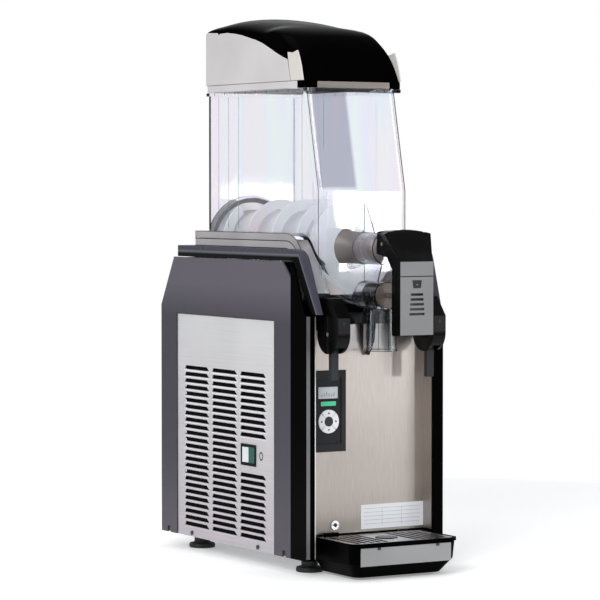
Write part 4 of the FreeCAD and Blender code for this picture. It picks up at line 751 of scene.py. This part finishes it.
def handle_face():
    """The handle's grey plate: a seam, a small tapered recess with a painted shade floor, and five grip
    openings.
    """
    back, front, half = -293.1, -294.8, 29.1
    top, above_seam, below_seam, recess_top, recess_foot, first_grip = 484, 462.4, 461.1, 456, 444, 436.3
    grips, grip_pitch, grip_tall, last_grip_foot, foot = 5, 7.4, 3.8, 402.9, 373
    form = Form()

    def across(low, high, left=None, right=None):
        near, far = left or -half, right or half
        form.prism([(near, low), (far, low), (far, high), (near, high)], "y", front, back)

    across(above_seam, top)
    across(recess_top, below_seam)
    across(first_grip, recess_foot)
    for sign in (-1, 1):
        form.prism([(sign * 7, recess_foot), (sign * 8.6, recess_top), (sign * half, recess_top),
                    (sign * half, recess_foot)], "y", front, back)
    for grip in range(grips):
        high, gap = first_grip - grip_pitch * grip, 11.2 + 0.65 * grip
        across(high - grip_tall, high, -half, -gap)
        across(high - grip_tall, high, gap, half)
        if grip < grips - 1:
            across(high - grip_pitch, high - grip_tall)
    across(foot, last_grip_foot)
    form.finish("handle_face", "handle", "handle_grey", stands_for=["handle_plate"])
    # The recess floor is darker than the plate: painted shade.
    Form().block((-9, -294.0, 443.5), (9, back, 456.5)).finish(
        "handle_recess_shade", "handle", "handle_grey", finish=FINISHES["recess_shade_grey"])
    Form().rod((0.5, -294.0, 449.4), (0.5, -294.5, 449.4), 1.1, sides=16).finish(
        "handle_stud", "handle", "handle_grey")


def latch_faces():
    """The dark grey front edge of each latch ear, with a black disc as painted shade in its pin hole."""
    for side, sign in (("left", -1), ("right", 1)):
        low, high = sorted((sign * 76.5, sign * 97))
        Form().block((low, -225.4, 374), (high, -224.9, 397)).finish(
            f"latch_face_{side}", "cabinet", "black_plastic", finish=FINISHES["ear_grey"])
        # The pin hole is a black disc: painted shade.
        Form().rod((sign * 86.5, -225.7, 389), (sign * 86.5, -225.3, 389), 2.8, sides=20).finish(
            f"latch_hole_shade_{side}", "cabinet", "black_plastic", finish=FINISHES["print_and_shade_ink"])


# ---------------------------------------------------------------- control unit, plate and tray details
def arrow(form, centre, turn, reach):
    """A small printed triangle on the wheel, pointing outwards."""
    corners = [(0, reach + 2.0), (-2.0, reach - 1.4), (2.0, reach - 1.4)]
    spun = [(centre[0] + x * math.cos(turn) - z * math.sin(turn),
             centre[1] + x * math.sin(turn) + z * math.cos(turn)) for x, z in corners]
    form.prism(spun, "y", -152.28, -152.1)


def control_marks():
    """The wheel's arrows and dark backing, plain bars on the display, and the status light."""
    centre = (-69.4, 235)
    for index, key in enumerate(("up", "left", "down", "right")):
        form = Form()
        arrow(form, centre, index * math.pi / 2, 13)
        form.finish(f"arrow_{key}", f"{key}_key", "key_white", finish=FINISHES["print_and_shade_ink"])
    Form().rod((centre[0], -148.6, centre[1]), (centre[0], -149.0, centre[1]), 18.45).finish(
        "wheel_backing", "cabinet", "bezel_plastic", finish=FINISHES["print_and_shade_ink"])
    bars = Form()
    for step, tall in enumerate((3, 5, 7, 5, 4, 6)):
        left = -82 + step * 4.4
        bars.block((left, -149.92, 273.5), (left + 2.4, -149.8, 273.5 + tall))
    bars.finish("display_bars", "cabinet", "display_glass", finish=FINISHES["display_ink"])
    Form().block((-82.4, -151.05, 259.5), (-56.4, -150.85, 265.5)).finish(
        "status_light", "cabinet", "display_glass", finish=FINISHES["status_green"], rounding=0.1)


def plug_hollow_shade():
    """A black disc in the middle of the chrome plug: painted shade for its hollow."""
    Form().rod((-56.6, -149.3, 73.6), (-56.6, -149.7, 73.6), 3.1, sides=24).finish(
        "plug_hollow_shade", "cabinet", "chrome", finish=FINISHES["print_and_shade_ink"])


def strip_notches():
    """Two small notches in the top edge of the tray's grey strip, and the grip at the grid's back."""
    for side, across in (("left", -49), ("right", 57)):
        notch = [(across - 3.5, 50.9), (across - 2.6, 47), (across + 2.6, 47), (across + 3.5, 50.9)]
        Form().prism(notch, "y", -266.4, -265.9).finish(
            f"strip_notch_{side}", "tray", "black_plastic", finish=FINISHES["print_and_shade_ink"])
    Form().block((-80, -158, 57.2), (-54, -154, 63)).finish(
        "grid_grip", "grid", "black_plastic", finish=FINISHES["pillar_black"], rounding=0.6)


def plate_rules():
    """Plain ruled lines on the blank rating plate, with no lettering."""
    front, back, top, rows, pitch = -148.68, -148.6, 95.5, 5, 6
    form = Form()
    for row in range(rows):
        high = top - row * pitch
        form.block((-3, front, high), (100, back, high + 0.5))
    for across in (30, 66):
        form.block((across, front, 68), (across + 0.4, back, 96))
    form.finish("plate_rules", "cabinet", "plate_white", finish=FINISHES["plate_ink"])


# ---------------------------------------------------------------- floor, light and camera
# Each light: name, place, width and height in metres, and power in watts.
LIGHTS = (("key", (-2.6, -2.0, 2.2), 1.8, 1.8, 85),
          ("fill", (2.4, -2.0, 1.0), 1.2, 2.0, 22),
          ("back", (0.6, 2.6, 2.4), 3.0, 2.0, 14),
          ("top", (0, 0, 3.2), 2.2, 2.2, 30),
          ("pane", (2.36, -3.88, 0.47), 0.26, 0.27, 6))
LIGHTS_AIM = Vector((0, 0, 0.45))
CAMERA_LENS = 170.06
CAMERA_PLACE = (-2.3274, -3.8843, 0.5956)
CAMERA_DIP, CAMERA_TURN = 2.27, -30.59


def floor_sheet():
    """A round sheet of pale paper, slightly emissive."""
    floor_mesh = bpy.data.meshes.new("floor")
    reach, sides = 1.3, 96
    rim = [(reach * math.cos(turn), reach * math.sin(turn), 0) for turn in circle(sides)[:-1]]
    floor_mesh.from_pydata(rim, [], [tuple(range(sides))])
    floor = bpy.data.objects.new("floor", floor_mesh)
    bpy.context.scene.collection.objects.link(floor)
    surface = Finish("floor_paper", Emission_Color=(1.0, 1.0, 1.0, 1.0), Emission_Strength=0.25)
    surface.colour(surface.noise(2), (0.90, 0.90, 0.90), (0.94, 0.94, 0.94))
    surface.roughness(surface.noise(40), 0.6, 0.8)
    floor.data.materials.append(surface.material)


def lamps():
    """Soft area lights that all face the machine."""
    for name, spot, width, height, power in LIGHTS:
        light = bpy.data.lights.new(name, "AREA")
        light.shape = "RECTANGLE"
        light.size = width
        light.size_y = height
        light.energy = power
        lamp = bpy.data.objects.new(name, light)
        lamp.location = spot
        lamp.rotation_euler = (LIGHTS_AIM - Vector(spot)).to_track_quat("-Z", "Y").to_euler()
        bpy.context.scene.collection.objects.link(lamp)


def room():
    """A dim even room that looks white to the camera and through clear parts."""
    world = bpy.data.worlds.new("studio")
    world.use_nodes = True
    tree = world.node_tree
    walls = tree.nodes["Background"]
    walls.inputs["Color"].default_value = (0.95, 0.97, 1.0, 1)
    walls.inputs["Strength"].default_value = 0.40
    paper = tree.nodes.new("ShaderNodeBackground")
    paper.inputs["Color"].default_value = (1, 1, 1, 1)
    path = tree.nodes.new("ShaderNodeLightPath")
    seen = tree.nodes.new("ShaderNodeMath")
    seen.operation = "MAXIMUM"
    tree.links.new(path.outputs["Is Camera Ray"], seen.inputs[0])
    tree.links.new(path.outputs["Is Transmission Ray"], seen.inputs[1])
    mix = tree.nodes.new("ShaderNodeMixShader")
    tree.links.new(seen.outputs["Value"], mix.inputs["Fac"])
    tree.links.new(walls.outputs["Background"], mix.inputs[1])
    tree.links.new(paper.outputs["Background"], mix.inputs[2])
    tree.links.new(mix.outputs["Shader"], tree.nodes["World Output"].inputs["Surface"])
    bpy.context.scene.world = world


def viewpoint():
    """The camera, and plain colours with no film curve."""
    camera = bpy.data.objects.new("camera", bpy.data.cameras.new("camera"))
    camera.data.lens = CAMERA_LENS
    camera.location = CAMERA_PLACE
    camera.rotation_euler = Euler((math.radians(90 - CAMERA_DIP), 0, math.radians(CAMERA_TURN)))
    bpy.context.scene.collection.objects.link(camera)
    bpy.context.scene.camera = camera
    bpy.context.scene.view_settings.view_transform = "Standard"


for make in (lid_dome, lid_sides, louver_lips, panel_shadow_lines, rubber_feet, louver_shade_sheets, switch_mark,
             bowl_details, spout_edge_shade, flange_details, pillar_reflection_and_edge, handle_face, latch_faces,
             control_marks, plug_hollow_shade, strip_notches, plate_rules, floor_sheet, lamps, room, viewpoint):
    make()
